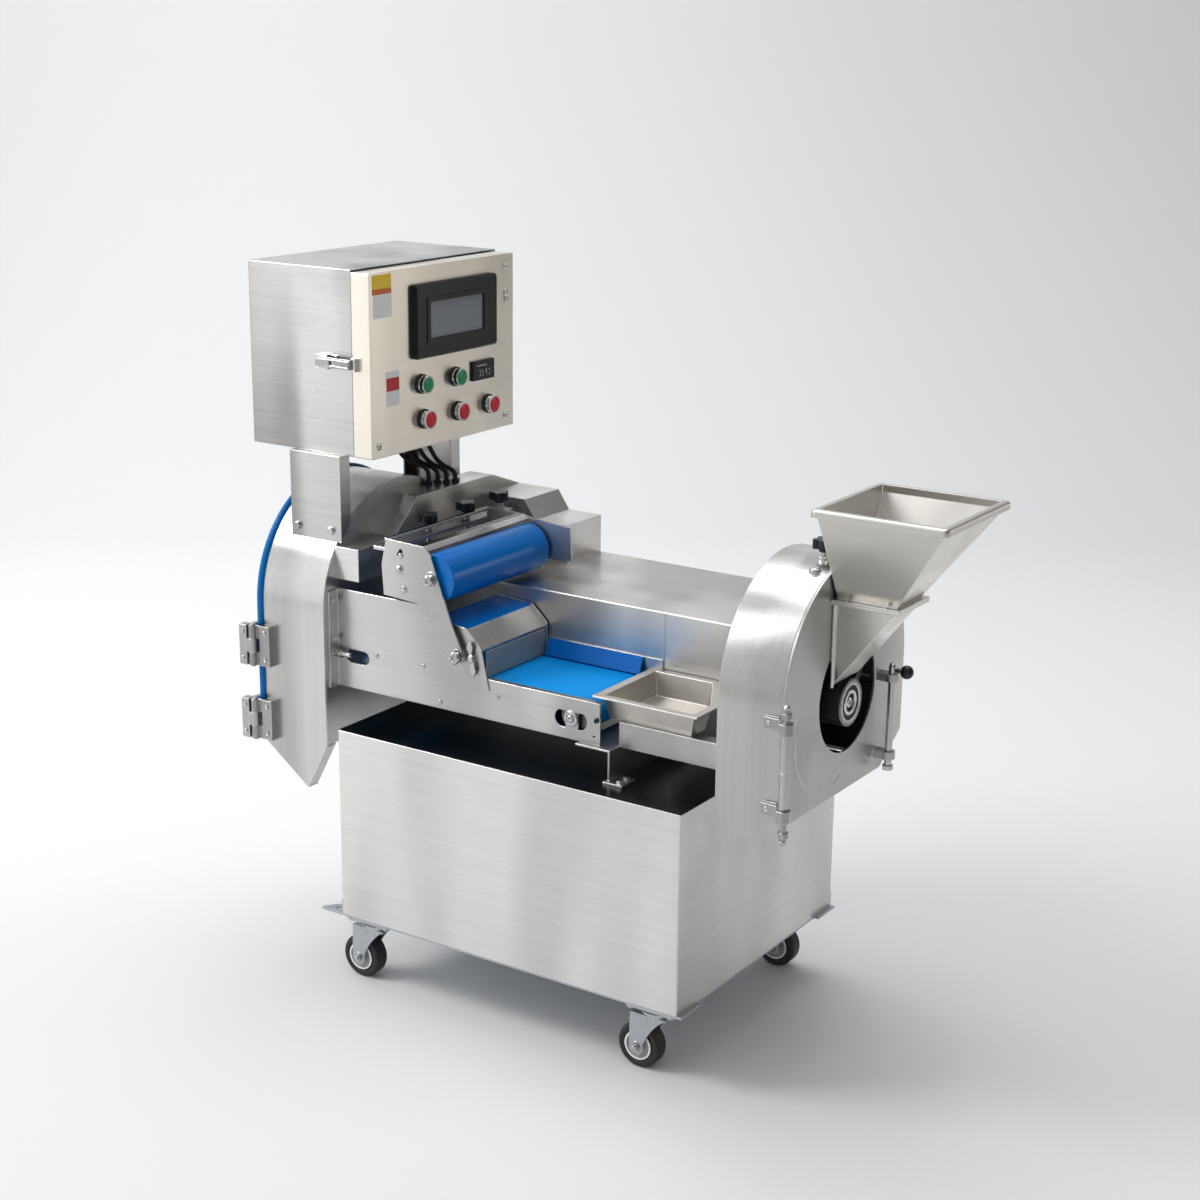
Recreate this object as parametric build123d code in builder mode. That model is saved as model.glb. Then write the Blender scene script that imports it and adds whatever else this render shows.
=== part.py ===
from build123d import *
import os
from math import cos, radians, sin

# Mobile vegetable cutting machine with a leafy head on the left and a root head on the right.
# X runs from the leafy head to the root head, Y from the front to the back, and Z is up.
# Dimensions are in millimetres from the middle of the base cabinet, its front wall and the floor.
# Each finished piece is moved so that the origin is the middle of the whole footprint.

# Sheet and plate thicknesses
SHEET = 2.0
PLATE = 3.0
RUNNING_GAP = 0.05
BODY_GAP = 0.3

# Base cabinet, base plate and casters
BASE_LENGTH = 680.0
BASE_DEPTH = 518.0
DECK_Z = 457.0
CABINET_BOTTOM = 121.0
BASE_PLATE = 4.0
EAR_REACH = 46.0
EAR_DEPTH = 60.0
ANCHOR_HOLE_R = 5.5
ANCHOR_X = -358.0
ANCHOR_INSET_Y = 14.0
SIDE_LIP = 9.0
CASTER_X = 287.0
CASTER_INSET_Y = 34.0
CASTER_TRAIL = 30.0
WHEEL_R = 38.0
WHEEL_WIDTH = 30.0
WHEEL_HUB_R = 25.0
WHEEL_AXLE_R = 5.0
FORK_TOP = 98.0
RACE_BOTTOM = 103.0

# Leafy head on the left
LEFT_OUTER_X = -528.0
LEFT_INNER_X = -392.0
LEFT_FRONT = 30.0
LEFT_REAR = 440.0
LEFT_SPRING = 640.0
LEFT_POINT = (-436.0, 323.0)
LEFT_OUTER_BOTTOM = 390.0
LEFT_INNER_BOTTOM = 406.0
HEAD_MID_Y = 235.0
LEFT_SPINDLE_Z = 640.0
SPINDLE_R = 15.0
BLADE_TIP_R = 186.0
BLADE_HUB_R = 42.0
THROAT = (78.0, 192.0, 577.0, 642.0)
SEAL_R = 7.0
SEAL_X = -534.0
LEFT_HINGE = (-540.0, 14.0)
LEFT_HINGE_Z = (434.0, 568.0)
LEFT_HINGE_HEIGHT = 72.0
HINGE_PIN_R = 3.0
DOOR_INSET = 7.0

# Infeed conveyor
SIDE_FRONT_Y = 64.0
SIDE_REAR_Y = 249.0
CONVEYOR_END_X = 149.0
CONVEYOR_BOTTOM = 511.0
CONVEYOR_TOP_LEFT = 684.0
CONVEYOR_TOP_RIGHT = 579.0
DRUM_Z = 547.0
DRUM_R = 26.5
DRIVE_DRUM_X = -318.0
IDLER_DRUM_X = 95.0
BELT_THICKNESS = 1.5
BELT_FRONT = 72.0
BELT_REAR = 246.0
DRUM_SHAFT_R = 8.0

# Drive cover, feed hood and infeed guard
COVER_FRONT = 252.0
COVER_REAR = 526.0
TABLE_Z = 687.0
HOOD_EDGE_X = -340.0
BLOCK_FRONT = 420.0
GUARD_TOP = ((-185.0, 664.0), (-115.0, 657.0), (-82.0, 628.0))
FLAP_X = -82.0

# Press unit
PRESS_PIVOT = (-123.0, 613.0)
PRESS_FRONT = 50.0
PRESS_REAR = 333.0
ROLLER = (-175.0, 735.0)
ROLLER_R = 41.0
ROLLER_AXLE_R = 8.0
PRESS_TAIL = (-90.0, 718.0)
CLAMP_BAR_X = (-298.0, -270.0)
CLAMP_BAR_Z = 768.0
CLAMP_KNOB_X = -285.0
CLAMP_KNOB_Y = (183.0, 290.0, 388.0)
STUD_R = 4.0

# Root head on the right
RIGHT_INNER_X = 380.0
RIGHT_OUTER_X = 488.0
RIGHT_FRONT = 32.0
RIGHT_REAR = 438.0
RIGHT_SPRING = 634.0
RIGHT_BOTTOM = 458.0
RIGHT_SPINDLE_Z = 605.0
DOOR_PLATE_X = 488.5
DOOR_PLATE = 4.0
DOOR_OPENING = (240.0, 618.0, 95.0)
RING_R = 132.0
RING_WALL = 8.0
IMPELLER_R = 121.0
HUB_R = 38.0
RIGHT_HINGE = (507.0, 15.0)
HINGE_ROD_R = 5.0
LOCK_ROD = (517.0, 345.0)
LOCK_ROD_R = 6.0

THICKNESS_STUD = (460.0, 204.0)

# Hopper and feed chute
HOPPER_RIM = (480.0, 700.0, 112.0, 342.0)
HOPPER_NECK = (498.0, 597.0, 180.0, 262.0)
HOPPER_FLANGE = (480.0, 606.0, 168.0, 272.0)
HOPPER_TOP = 933.0
RIM_HEIGHT = 12.0
NECK_Z = 785.0
FLANGE_HEIGHT = 4.0
CHUTE_TIP = (495.0, 648.0)

# Catch pan
PAN_RIM = (130.0, 322.0, 70.0, 249.0)
PAN_RIM_Z = 590.0
PAN_DEPTH = 40.0
PAN_LIP = 12.0
PAN_CHAMFER = (62.0, 107.0)

# Drives
PULLEY_R = 38.0
PULLEY_WIDTH = 24.0
GROOVE_R = 31.0
MOTOR = (430.0, 560.0)
MOTOR_R = 60.0
MOTOR_SHAFT_R = 9.5
LEFT_PULLEY_X = -370.0
RIGHT_PULLEY_X = 334.0

# Control box on its posts
BOX_X = (-587.0, -362.0)
BOX_Y = (84.0, 482.0)
BOX_Z = (910.0, 1221.0)
DOOR_FACE_X = -320.0
DOOR_BACK_X = -358.0
DOOR_Y = (80.0, 478.0)
DOOR_Z = (910.0, 1218.0)
DOOR_HINGE = (-360.0, 490.0)
POST_X = (-492.0, -382.0)
POST_DEPTH = 25.0
BUTTON_R = 10.9
BEZEL_R = 15.0
BUTTONS = {
    "button_start_left": (214.0, 1020.0),
    "button_start_right": (308.0, 1020.0),
    "button_stop_left": (220.0, 959.0),
    "button_stop_right": (314.0, 959.0),
    "button_stop_belt": (403.0, 959.0),
}
TOUCH_PANEL = (189.0, 418.0, 1064.0, 1189.0)
SCREEN = (227.0, 377.0, 1096.0, 1158.0)
METER = (354.0, 415.0, 1005.0, 1039.0)

# The footprint reaches from the control box to the hopper rim and from the front wall to the drive cover
FOOT_X = (BOX_X[0] + HOPPER_RIM[1]) / 2
FOOT_Y = COVER_REAR / 2

os.makedirs("parts", exist_ok=True)


def save(piece: BuildPart, label: str):
    """Name a finished piece and write it, measured from the middle of the footprint."""
    piece.part.label = label
    piece.part.move(Location((-FOOT_X, -FOOT_Y, 0)))
    export_step(piece.part, f"parts/{label}.step")


def save_group(pieces: list, label: str):
    """Write solids that touch but stay separate as one named node."""
    solids = [solid for piece in pieces for solid in piece.part.solids()]
    group = Compound([solid.moved(Location((-FOOT_X, -FOOT_Y, 0))) for solid in solids], label=label)
    export_step(group, f"parts/{label}.step")


def front_plane(y: float) -> Plane:
    """Upright plane at depth y; local x is X, local y is Z and a positive extrude comes forward."""
    return Plane.XZ.offset(-y)


def side_plane(x: float) -> Plane:
    """Upright plane across the machine; local x is Y, local y is Z, a positive extrude goes to +X."""
    return Plane.YZ.offset(x)


def level(z: float) -> Plane:
    """Flat plane at height z."""
    return Plane.XY.offset(z)


def turning_plane(y: float, z: float) -> Plane:
    """Plane through a lengthwise axis, so that a profile of (X, radius) can be revolved about it."""
    return Plane(origin=(0, y, z), x_dir=(1, 0, 0), z_dir=(0, -1, 0))


def outline(*points) -> Sketch:
    """Flat shape with straight sides through the points."""
    with BuildSketch() as shape:
        with BuildLine():
            Polyline(*points, close=True)
        make_face()
    return shape.sketch


def slab(x0: float, x1: float, y0: float, y1: float) -> Sketch:
    """Rectangle between two pairs of limits."""
    return outline((x0, y0), (x1, y0), (x1, y1), (x0, y1))


def arch(front: float, rear: float, bottom: float, spring: float) -> Sketch:
    """End view of a cutting head: upright sides under a half-round top."""
    middle = (front + rear) / 2
    with BuildSketch() as shape:
        with BuildLine():
            Polyline((front, spring), (front, bottom), (rear, bottom), (rear, spring))
            ThreePointArc((rear, spring), (middle, spring + (rear - front) / 2), (front, spring))
        make_face()
    return shape.sketch


def around(radius: float, angle: float) -> tuple:
    """Point at a radius and an angle in degrees."""
    return (radius * cos(radians(angle)), radius * sin(radians(angle)))


def open_loop(start: tuple, start_r: float, end: tuple, end_r: float) -> Sketch:
    """Outline of a band stretched round two circles."""
    with BuildSketch() as shape:
        with Locations(start):
            Circle(start_r)
        with Locations(end):
            Circle(end_r)
        make_hull()
    return shape.sketch


# Base cabinet: folded sheet box that is open below, with vent slots in its rear wall
VENT_PITCH = 22.0
with BuildPart() as base_cabinet:
    with BuildSketch(level(CABINET_BOTTOM)) as cabinet_outline:
        add(slab(-BASE_LENGTH / 2, BASE_LENGTH / 2, 0, BASE_DEPTH))
        fillet(cabinet_outline.vertices(), PLATE)
    extrude(amount=DECK_Z - CABINET_BOTTOM)
    offset(amount=-SHEET, openings=base_cabinet.faces().sort_by(Axis.Z)[0])
    with BuildSketch(front_plane(BASE_DEPTH)):
        with Locations((0, 300)):
            with GridLocations(240, VENT_PITCH, 2, 6):
                SlotOverall(140, 8)
    extrude(amount=SHEET, mode=Mode.SUBTRACT)
save(base_cabinet, "base_cabinet")

# Base plate: closes the cabinet, with drilled ears on the left and narrow lips on the right
with BuildPart() as base_plate:
    with BuildSketch(level(CABINET_BOTTOM - BASE_PLATE)):
        add(slab(-BASE_LENGTH / 2, BASE_LENGTH / 2, 0, BASE_DEPTH))
        for corner_y, inward in ((0, 1), (BASE_DEPTH, -1)):
            wall, tip = -BASE_LENGTH / 2, -BASE_LENGTH / 2 - EAR_REACH
            add(outline((wall, corner_y), (tip, corner_y), (tip, corner_y + inward * 6),
                        (wall, corner_y + inward * EAR_DEPTH)))
            near, far = sorted((corner_y, corner_y + inward * EAR_DEPTH))
            add(slab(-wall, -wall + SIDE_LIP, near, far))
        with Locations((ANCHOR_X, ANCHOR_INSET_Y), (ANCHOR_X, BASE_DEPTH - ANCHOR_INSET_Y)):
            Circle(ANCHOR_HOLE_R, mode=Mode.SUBTRACT)
    extrude(amount=BASE_PLATE)
save(base_plate, "base_plate")

CASTERS = {
    "front_left": (-CASTER_X, CASTER_INSET_Y),
    "front_right": (CASTER_X, CASTER_INSET_Y),
    "rear_left": (-CASTER_X, BASE_DEPTH - CASTER_INSET_Y),
    "rear_right": (CASTER_X, BASE_DEPTH - CASTER_INSET_Y),
}
PLATE_TOP = CABINET_BOTTOM - BASE_PLATE
KING_PIN_R = 6.0

# Caster top plates: bolted plate with the upper half of the swivel race
with BuildPart() as caster_plates:
    for x, y in CASTERS.values():
        with BuildSketch(level(PLATE_TOP)) as top_plate:
            with Locations((x, y)):
                RectangleRounded(92, 66, 8)
        extrude(amount=-4)
        with BuildSketch(level(PLATE_TOP - 4)):
            with Locations((x, y)):
                Circle(27)
            with Locations((x, y)):
                with GridLocations(74, 48, 2, 2):
                    RegularPolygon(7, 6)
        extrude(amount=-4)
        with BuildSketch(level(PLATE_TOP - 8)):
            with Locations((x, y)):
                Circle(24)
        extrude(amount=RACE_BOTTOM - PLATE_TOP + 8)
        with BuildSketch(level(RACE_BOTTOM)):
            with Locations((x, y)):
                Circle(KING_PIN_R + RUNNING_GAP)
        extrude(amount=8, mode=Mode.SUBTRACT)
save(caster_plates, "caster_plates")


def caster_fork(x: float, y: float, label: str):
    """Pressed fork with a king pin above, two tapering legs and the wheel's axle bolt."""
    axle_x = x - CASTER_TRAIL
    leg_inside = WHEEL_WIDTH / 2 + 2
    leg_outside = leg_inside + PLATE
    with BuildPart() as fork:
        with BuildSketch(level(FORK_TOP)):
            with Locations((x, y)):
                Circle(24)
        extrude(amount=RACE_BOTTOM - BODY_GAP - FORK_TOP)
        with BuildSketch(level(RACE_BOTTOM - BODY_GAP)):
            with Locations((x, y)):
                Circle(KING_PIN_R)
        extrude(amount=7)
        with BuildSketch(level(FORK_TOP)):
            add(slab(x - 42, x + 24, y - leg_outside, y + leg_outside))
        extrude(amount=-PLATE)
        for leg_y in (y - leg_inside, y + leg_outside):
            with BuildSketch(front_plane(leg_y)):
                with BuildLine():
                    Line((x - 42, FORK_TOP), (axle_x - 13, WHEEL_R))
                    ThreePointArc((axle_x - 13, WHEEL_R), (axle_x, WHEEL_R - 13), (axle_x + 12, WHEEL_R + 5))
                    ThreePointArc((axle_x + 12, WHEEL_R + 5), (x - 1, 74), (x + 24, FORK_TOP))
                    Line((x + 24, FORK_TOP), (x - 42, FORK_TOP))
                make_face()
            extrude(amount=PLATE)
        with BuildSketch(front_plane(y + leg_outside)):
            with Locations((axle_x, WHEEL_R)):
                Circle(WHEEL_AXLE_R)
        extrude(amount=2 * leg_outside)
        for head_y in (y + leg_outside + 4, y - leg_outside):
            with BuildSketch(front_plane(head_y)):
                with Locations((axle_x, WHEEL_R)):
                    RegularPolygon(7.5, 6)
            extrude(amount=4)
    save(fork, label)


def caster_wheel(x: float, y: float, label: str):
    """Rubber tyre on a dished hub, both turned about the axle."""
    axle_x = x - CASTER_TRAIL
    half = WHEEL_WIDTH / 2
    turn = Plane(origin=(axle_x, y, WHEEL_R), x_dir=(0, 1, 0), z_dir=(1, 0, 0))
    axis = Axis((axle_x, y, WHEEL_R), (0, 1, 0))
    with BuildPart() as tyre:
        with BuildSketch(turn) as tread:
            add(slab(-half, half, WHEEL_HUB_R, WHEEL_R))
            fillet(tread.vertices().group_by(Axis.Z)[-1], 6)
        revolve(axis=axis)
    with BuildPart() as hub:
        with BuildSketch(turn):
            add(outline((-half, WHEEL_AXLE_R + RUNNING_GAP), (half, WHEEL_AXLE_R + RUNNING_GAP), (half, 10),
                        (half - 5, 12), (half - 5, 19), (half - 1, 21), (half - 1, WHEEL_HUB_R),
                        (1 - half, WHEEL_HUB_R), (1 - half, 21), (5 - half, 19), (5 - half, 12), (-half, 10)))
        revolve(axis=axis)
    save_group([tyre, hub], label)


for place, (caster_x, caster_y) in CASTERS.items():
    caster_fork(caster_x, caster_y, f"caster_fork_{place}")
    caster_wheel(caster_x, caster_y, f"caster_wheel_{place}")

# Front conveyor plate: folded flange at the head, cap over the belt edge, slots for the belt tension
CAP_LEFT_X = -108.0
CAP_HEIGHT = 21.0
TENSION_SLOT = (-347.0, 568.0)
with BuildPart() as conveyor_front_plate:
    with BuildSketch(front_plane(SIDE_FRONT_Y + PLATE)):
        add(outline((LEFT_INNER_X, CONVEYOR_BOTTOM), (CONVEYOR_END_X, CONVEYOR_BOTTOM),
                    (CONVEYOR_END_X, CONVEYOR_TOP_RIGHT), (CAP_LEFT_X, CONVEYOR_TOP_RIGHT),
                    (CAP_LEFT_X, 606), (-205, CONVEYOR_TOP_LEFT), (LEFT_INNER_X, CONVEYOR_TOP_LEFT)))
        with Locations(TENSION_SLOT):
            SlotOverall(52, 24, mode=Mode.SUBTRACT)
        with Locations((IDLER_DRUM_X - 2, DRUM_Z - 3)):
            SlotOverall(62, 30, mode=Mode.SUBTRACT)
        with Locations((138, 524)):
            Circle(2.5, mode=Mode.SUBTRACT)
    extrude(amount=PLATE)
    # Bearing block of the tail drum, standing in the slot between two open crescents
    with BuildSketch(front_plane(SIDE_FRONT_Y + PLATE)):
        with Locations((IDLER_DRUM_X, DRUM_Z - 3)):
            Rectangle(24, 31)
        with Locations((IDLER_DRUM_X, DRUM_Z)):
            Circle(DRUM_SHAFT_R + RUNNING_GAP, mode=Mode.SUBTRACT)
    extrude(amount=PLATE)
    with BuildSketch(front_plane(SIDE_FRONT_Y)):
        with Locations((IDLER_DRUM_X, DRUM_Z)):
            Circle(13)
    extrude(amount=4)
    # Bearing ring of the drive drum on the hidden side
    with BuildSketch(front_plane(SIDE_FRONT_Y + PLATE + 4)):
        with Locations((DRIVE_DRUM_X, DRUM_Z)):
            Circle(16)
            Circle(DRUM_SHAFT_R + RUNNING_GAP, mode=Mode.SUBTRACT)
    extrude(amount=4)
    with BuildSketch(side_plane(CAP_LEFT_X)):
        add(outline((SIDE_FRONT_Y, CONVEYOR_TOP_RIGHT - CAP_HEIGHT), (SIDE_FRONT_Y, CONVEYOR_TOP_RIGHT),
                    (SIDE_FRONT_Y + 9, CONVEYOR_TOP_RIGHT), (SIDE_FRONT_Y + 9, CONVEYOR_TOP_RIGHT + SHEET),
                    (SIDE_FRONT_Y - SHEET, CONVEYOR_TOP_RIGHT + SHEET),
                    (SIDE_FRONT_Y - SHEET, CONVEYOR_TOP_RIGHT - CAP_HEIGHT)))
    extrude(amount=CONVEYOR_END_X - CAP_LEFT_X)
    with BuildSketch(level(CONVEYOR_BOTTOM)):
        add(slab(LEFT_INNER_X, LEFT_INNER_X + PLATE, 42, SIDE_FRONT_Y + PLATE))
    extrude(amount=CONVEYOR_TOP_LEFT - CONVEYOR_BOTTOM - 2)
    # Pivot boss that carries the press unit
    with BuildSketch(front_plane(SIDE_FRONT_Y)):
        with Locations(PRESS_PIVOT):
            Circle(11)
    extrude(amount=SIDE_FRONT_Y - PRESS_FRONT - PLATE - BODY_GAP)
    with BuildSketch(front_plane(SIDE_FRONT_Y)):
        with Locations(PRESS_PIVOT):
            Circle(5)
    extrude(amount=SIDE_FRONT_Y - PRESS_FRONT + 8)
    with BuildSketch(front_plane(PRESS_FRONT - BODY_GAP)):
        with Locations(PRESS_PIVOT):
            Circle(13)
    extrude(amount=SHEET)
    with BuildSketch(front_plane(PRESS_FRONT - BODY_GAP - SHEET)):
        with Locations(PRESS_PIVOT):
            RegularPolygon(8.5, 6)
    extrude(amount=6)
save(conveyor_front_plate, "conveyor_front_plate")

# Slider bed under the belt with the rear side plate
BED_TOP = DRUM_Z + DRUM_R
REAR_PLATE_TOP = 606.0
with BuildPart() as conveyor_bed:
    with BuildSketch(front_plane(SIDE_REAR_Y + PLATE)):
        add(slab(HOOD_EDGE_X + SHEET, CONVEYOR_END_X, CONVEYOR_BOTTOM, REAR_PLATE_TOP))
        with Locations((DRIVE_DRUM_X, DRUM_Z), (IDLER_DRUM_X, DRUM_Z)):
            Circle(DRUM_SHAFT_R + RUNNING_GAP, mode=Mode.SUBTRACT)
    extrude(amount=PLATE)
    with BuildSketch(side_plane(DRIVE_DRUM_X + DRUM_R + 6)):
        add(outline((SIDE_FRONT_Y + PLATE, BED_TOP), (SIDE_REAR_Y, BED_TOP),
                    (SIDE_REAR_Y, BED_TOP - 16), (SIDE_REAR_Y - SHEET, BED_TOP - 16),
                    (SIDE_REAR_Y - SHEET, BED_TOP - SHEET), (SIDE_FRONT_Y + PLATE + SHEET, BED_TOP - SHEET),
                    (SIDE_FRONT_Y + PLATE + SHEET, BED_TOP - 16), (SIDE_FRONT_Y + PLATE, BED_TOP - 16)))
    extrude(amount=IDLER_DRUM_X - DRIVE_DRUM_X - 2 * (DRUM_R + 6))
save(conveyor_bed, "conveyor_bed")

# Endless belt round the two drums
with BuildPart() as conveyor_belt:
    with BuildSketch(front_plane(BELT_REAR)):
        inner_r = DRUM_R + BODY_GAP
        drive, tail = (DRIVE_DRUM_X, DRUM_Z), (IDLER_DRUM_X, DRUM_Z)
        add(open_loop(drive, inner_r + BELT_THICKNESS, tail, inner_r + BELT_THICKNESS))
        add(open_loop(drive, inner_r, tail, inner_r), mode=Mode.SUBTRACT)
    extrude(amount=BELT_REAR - BELT_FRONT)

# Leaning skirt strip that keeps the food on the belt
SKIRT = (-78.0, 112.0)
with BuildPart() as belt_skirt:
    with BuildSketch(side_plane(SKIRT[0])):
        add(outline((SIDE_REAR_Y, 604), (SIDE_REAR_Y - 3, 606), (SIDE_REAR_Y - 14, 578), (SIDE_REAR_Y - 10, 577),
                    (SIDE_REAR_Y, 598)))
    extrude(amount=SKIRT[1] - SKIRT[0])
save_group([conveyor_belt, belt_skirt], "conveyor_belt")


def drum(x: float, shaft_front: float, shaft_rear: float, label: str):
    """Belt drum with rounded shoulders on its own shaft."""
    with BuildPart() as piece:
        with BuildSketch(front_plane(BELT_REAR)):
            with Locations((x, DRUM_Z)):
                Circle(DRUM_R)
        extrude(amount=BELT_REAR - BELT_FRONT)
        chamfer(piece.edges().filter_by(GeomType.CIRCLE), 1.5)
        with BuildSketch(front_plane(shaft_rear)):
            with Locations((x, DRUM_Z)):
                Circle(DRUM_SHAFT_R)
        extrude(amount=shaft_rear - shaft_front)
    save(piece, label)


GEARBOX_FRONT = 258.0
drum(DRIVE_DRUM_X, SIDE_FRONT_Y + PLATE + 0.5, GEARBOX_FRONT + 24, "drive_drum")
drum(IDLER_DRUM_X, SIDE_FRONT_Y + 0.5, SIDE_REAR_Y + PLATE, "tail_drum")

# The pan stands on the angle rail
RAIL_TOP = PAN_RIM_Z - PAN_DEPTH

# Support leg under the conveyor's free end and the rail that carries the pan
with BuildPart() as support_leg:
    with BuildSketch(front_plane(COVER_FRONT)):
        add(outline((110, CONVEYOR_BOTTOM), (175, CONVEYOR_BOTTOM), (175, DECK_Z), (172, DECK_Z),
                    (172, CONVEYOR_BOTTOM - PLATE), (110, CONVEYOR_BOTTOM - PLATE)))
    extrude(amount=COVER_FRONT - 52)
    with BuildSketch(level(DECK_Z)):
        add(slab(168, 204, 44, 84))
    extrude(amount=4)
    with BuildSketch(level(DECK_Z + 4)):
        with Locations((194, 54), (194, 74)):
            RegularPolygon(6, 6)
    extrude(amount=4)
    # Angle rail from the leg to the root head
    with BuildSketch(side_plane(172)):
        add(outline((84, CONVEYOR_BOTTOM - PLATE), (87, CONVEYOR_BOTTOM - PLATE), (87, RAIL_TOP - PLATE),
                    (110, RAIL_TOP - PLATE), (110, RAIL_TOP), (84, RAIL_TOP)))
    extrude(amount=RIGHT_INNER_X - 172)
save(support_leg, "support_leg")

END_WALL_Y = 300.0

# Drive cover: long folded box behind the conveyor, with a pocket over each spindle pulley
LEFT_POCKET = (LEFT_INNER_X, HOOD_EDGE_X, 193.0, 580.0, TABLE_Z)
RIGHT_POCKET = (324.0, RIGHT_INNER_X, 193.0, 545.0, 657.0)
BLOCK_TOP = ((HOOD_EDGE_X, 790.0), (-252.0, 790.0), (-228.0, 755.0), (-158.0, 755.0))
with BuildPart() as drive_cover:
    with BuildSketch(side_plane(LEFT_INNER_X)) as cover_section:
        add(slab(COVER_FRONT, COVER_REAR, DECK_Z, TABLE_Z))
        fillet(cover_section.vertices().group_by(Axis.Z)[-1], PLATE)
    extrude(amount=RIGHT_INNER_X - LEFT_INNER_X)
    for x0, x1, y0, z0, z1 in (LEFT_POCKET, RIGHT_POCKET):
        with BuildSketch(level(z0)):
            add(slab(x0, x1, y0, COVER_FRONT + PLATE))
        extrude(amount=z1 - z0)
    # Stepped block at the back of the press unit
    with BuildSketch(front_plane(COVER_REAR)):
        add(outline((BLOCK_TOP[0][0], TABLE_Z - PLATE), *BLOCK_TOP, (BLOCK_TOP[-1][0], TABLE_Z - PLATE)))
    extrude(amount=COVER_REAR - BLOCK_FRONT)
    with BuildSketch(side_plane(LEFT_INNER_X)):
        add(slab(COVER_FRONT + SHEET, COVER_REAR - SHEET, DECK_Z, TABLE_Z - SHEET))
    extrude(amount=RIGHT_INNER_X - LEFT_INNER_X, mode=Mode.SUBTRACT)
    with BuildSketch(level(LEFT_POCKET[3] + SHEET)):
        add(slab(LEFT_POCKET[0], LEFT_POCKET[1] - SHEET, LEFT_POCKET[2] + SHEET, COVER_FRONT + SHEET))
    extrude(amount=LEFT_POCKET[4] - LEFT_POCKET[3] - 2 * SHEET, mode=Mode.SUBTRACT)
    with BuildSketch(level(RIGHT_POCKET[3] + SHEET)):
        add(slab(RIGHT_POCKET[0] + SHEET, RIGHT_POCKET[1], RIGHT_POCKET[2] + SHEET, COVER_FRONT + SHEET))
    extrude(amount=RIGHT_POCKET[4] - RIGHT_POCKET[3] - 2 * SHEET, mode=Mode.SUBTRACT)
    with BuildSketch(front_plane(COVER_REAR - SHEET)):
        add(outline((HOOD_EDGE_X, TABLE_Z), (HOOD_EDGE_X, 788), (-253, 788), (-229, 753), (-160, 753), (-160, TABLE_Z)))
    extrude(amount=COVER_REAR - BLOCK_FRONT - 2 * SHEET, mode=Mode.SUBTRACT)
    # Floors where the cover reaches past the cabinet, and end walls behind the heads
    for x0, x1, wall_x in ((LEFT_INNER_X, -BASE_LENGTH / 2, LEFT_INNER_X),
                           (BASE_LENGTH / 2, RIGHT_INNER_X, RIGHT_INNER_X - SHEET)):
        with BuildSketch(level(DECK_Z)):
            add(slab(x0, x1, COVER_FRONT, COVER_REAR))
        extrude(amount=SHEET)
        with BuildSketch(side_plane(wall_x)):
            add(slab(END_WALL_Y, COVER_REAR, DECK_Z, TABLE_Z - SHEET))
        extrude(amount=SHEET)
    # Clearance hole for the drive drum's shaft and the panel joint in the front wall
    with BuildSketch(front_plane(COVER_FRONT + SHEET)):
        with Locations((DRIVE_DRUM_X, DRUM_Z)):
            Circle(12)
    extrude(amount=SHEET, mode=Mode.SUBTRACT)
    with BuildSketch(front_plane(COVER_FRONT + 0.6)):
        add(slab(150, 151.5, 590, TABLE_Z - PLATE))
    extrude(amount=0.6, mode=Mode.SUBTRACT)
save(drive_cover, "drive_cover")

# Infeed guard: sloping tunnel roof over the belt between two cheeks
with BuildPart() as infeed_guard:
    roof_a, roof_b, roof_c = GUARD_TOP
    with BuildSketch(front_plane(SIDE_REAR_Y - SHEET)):
        add(outline(roof_a, roof_b, roof_c, (roof_c[0], roof_c[1] - PLATE), (roof_b[0] - 1, roof_b[1] - PLATE),
                    (roof_a[0], roof_a[1] - PLATE)))
    extrude(amount=SIDE_REAR_Y - SHEET - SIDE_FRONT_Y - PLATE)
    with BuildSketch(front_plane(SIDE_FRONT_Y + PLATE)):
        add(outline((roof_b[0] - 35, roof_b[1] + 3.5), roof_b, roof_c, (roof_c[0], roof_c[1] - PLATE),
                    (roof_b[0] - 1, roof_b[1] - PLATE), (roof_b[0] - 35, roof_b[1] + 0.5)))
    extrude(amount=PLATE + SHEET)
    with BuildSketch(front_plane(SIDE_FRONT_Y - SHEET)):
        add(outline((-185, 668), (-114, 661), (-82, 632), (-66, 562), (-96, 584), (-110, 600),
                    (-140, 640), (-185, 650)))
        with Locations(PRESS_PIVOT):
            Circle(11.5, mode=Mode.SUBTRACT)
    extrude(amount=SHEET)
    with BuildSketch(front_plane(SIDE_REAR_Y)):
        add(outline((-185, 668), (-114, 661), (-82, 632), (-82, 580), (-185, 580)))
    extrude(amount=SHEET)
save(infeed_guard, "infeed_guard")

# Swinging flap that closes the tunnel mouth
FLAP_TOP = roof_c[1] - PLATE - 1
with BuildPart() as infeed_flap:
    with BuildSketch(front_plane(SIDE_REAR_Y - 6)):
        add(slab(FLAP_X - 2, FLAP_X, DRUM_Z + DRUM_R + 4, FLAP_TOP - 2))
        with Locations((FLAP_X - 2.5, FLAP_TOP - 3)):
            Circle(2.5)
    extrude(amount=SIDE_REAR_Y - SIDE_FRONT_Y - 18)
save(infeed_flap, "infeed_flap")

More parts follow.
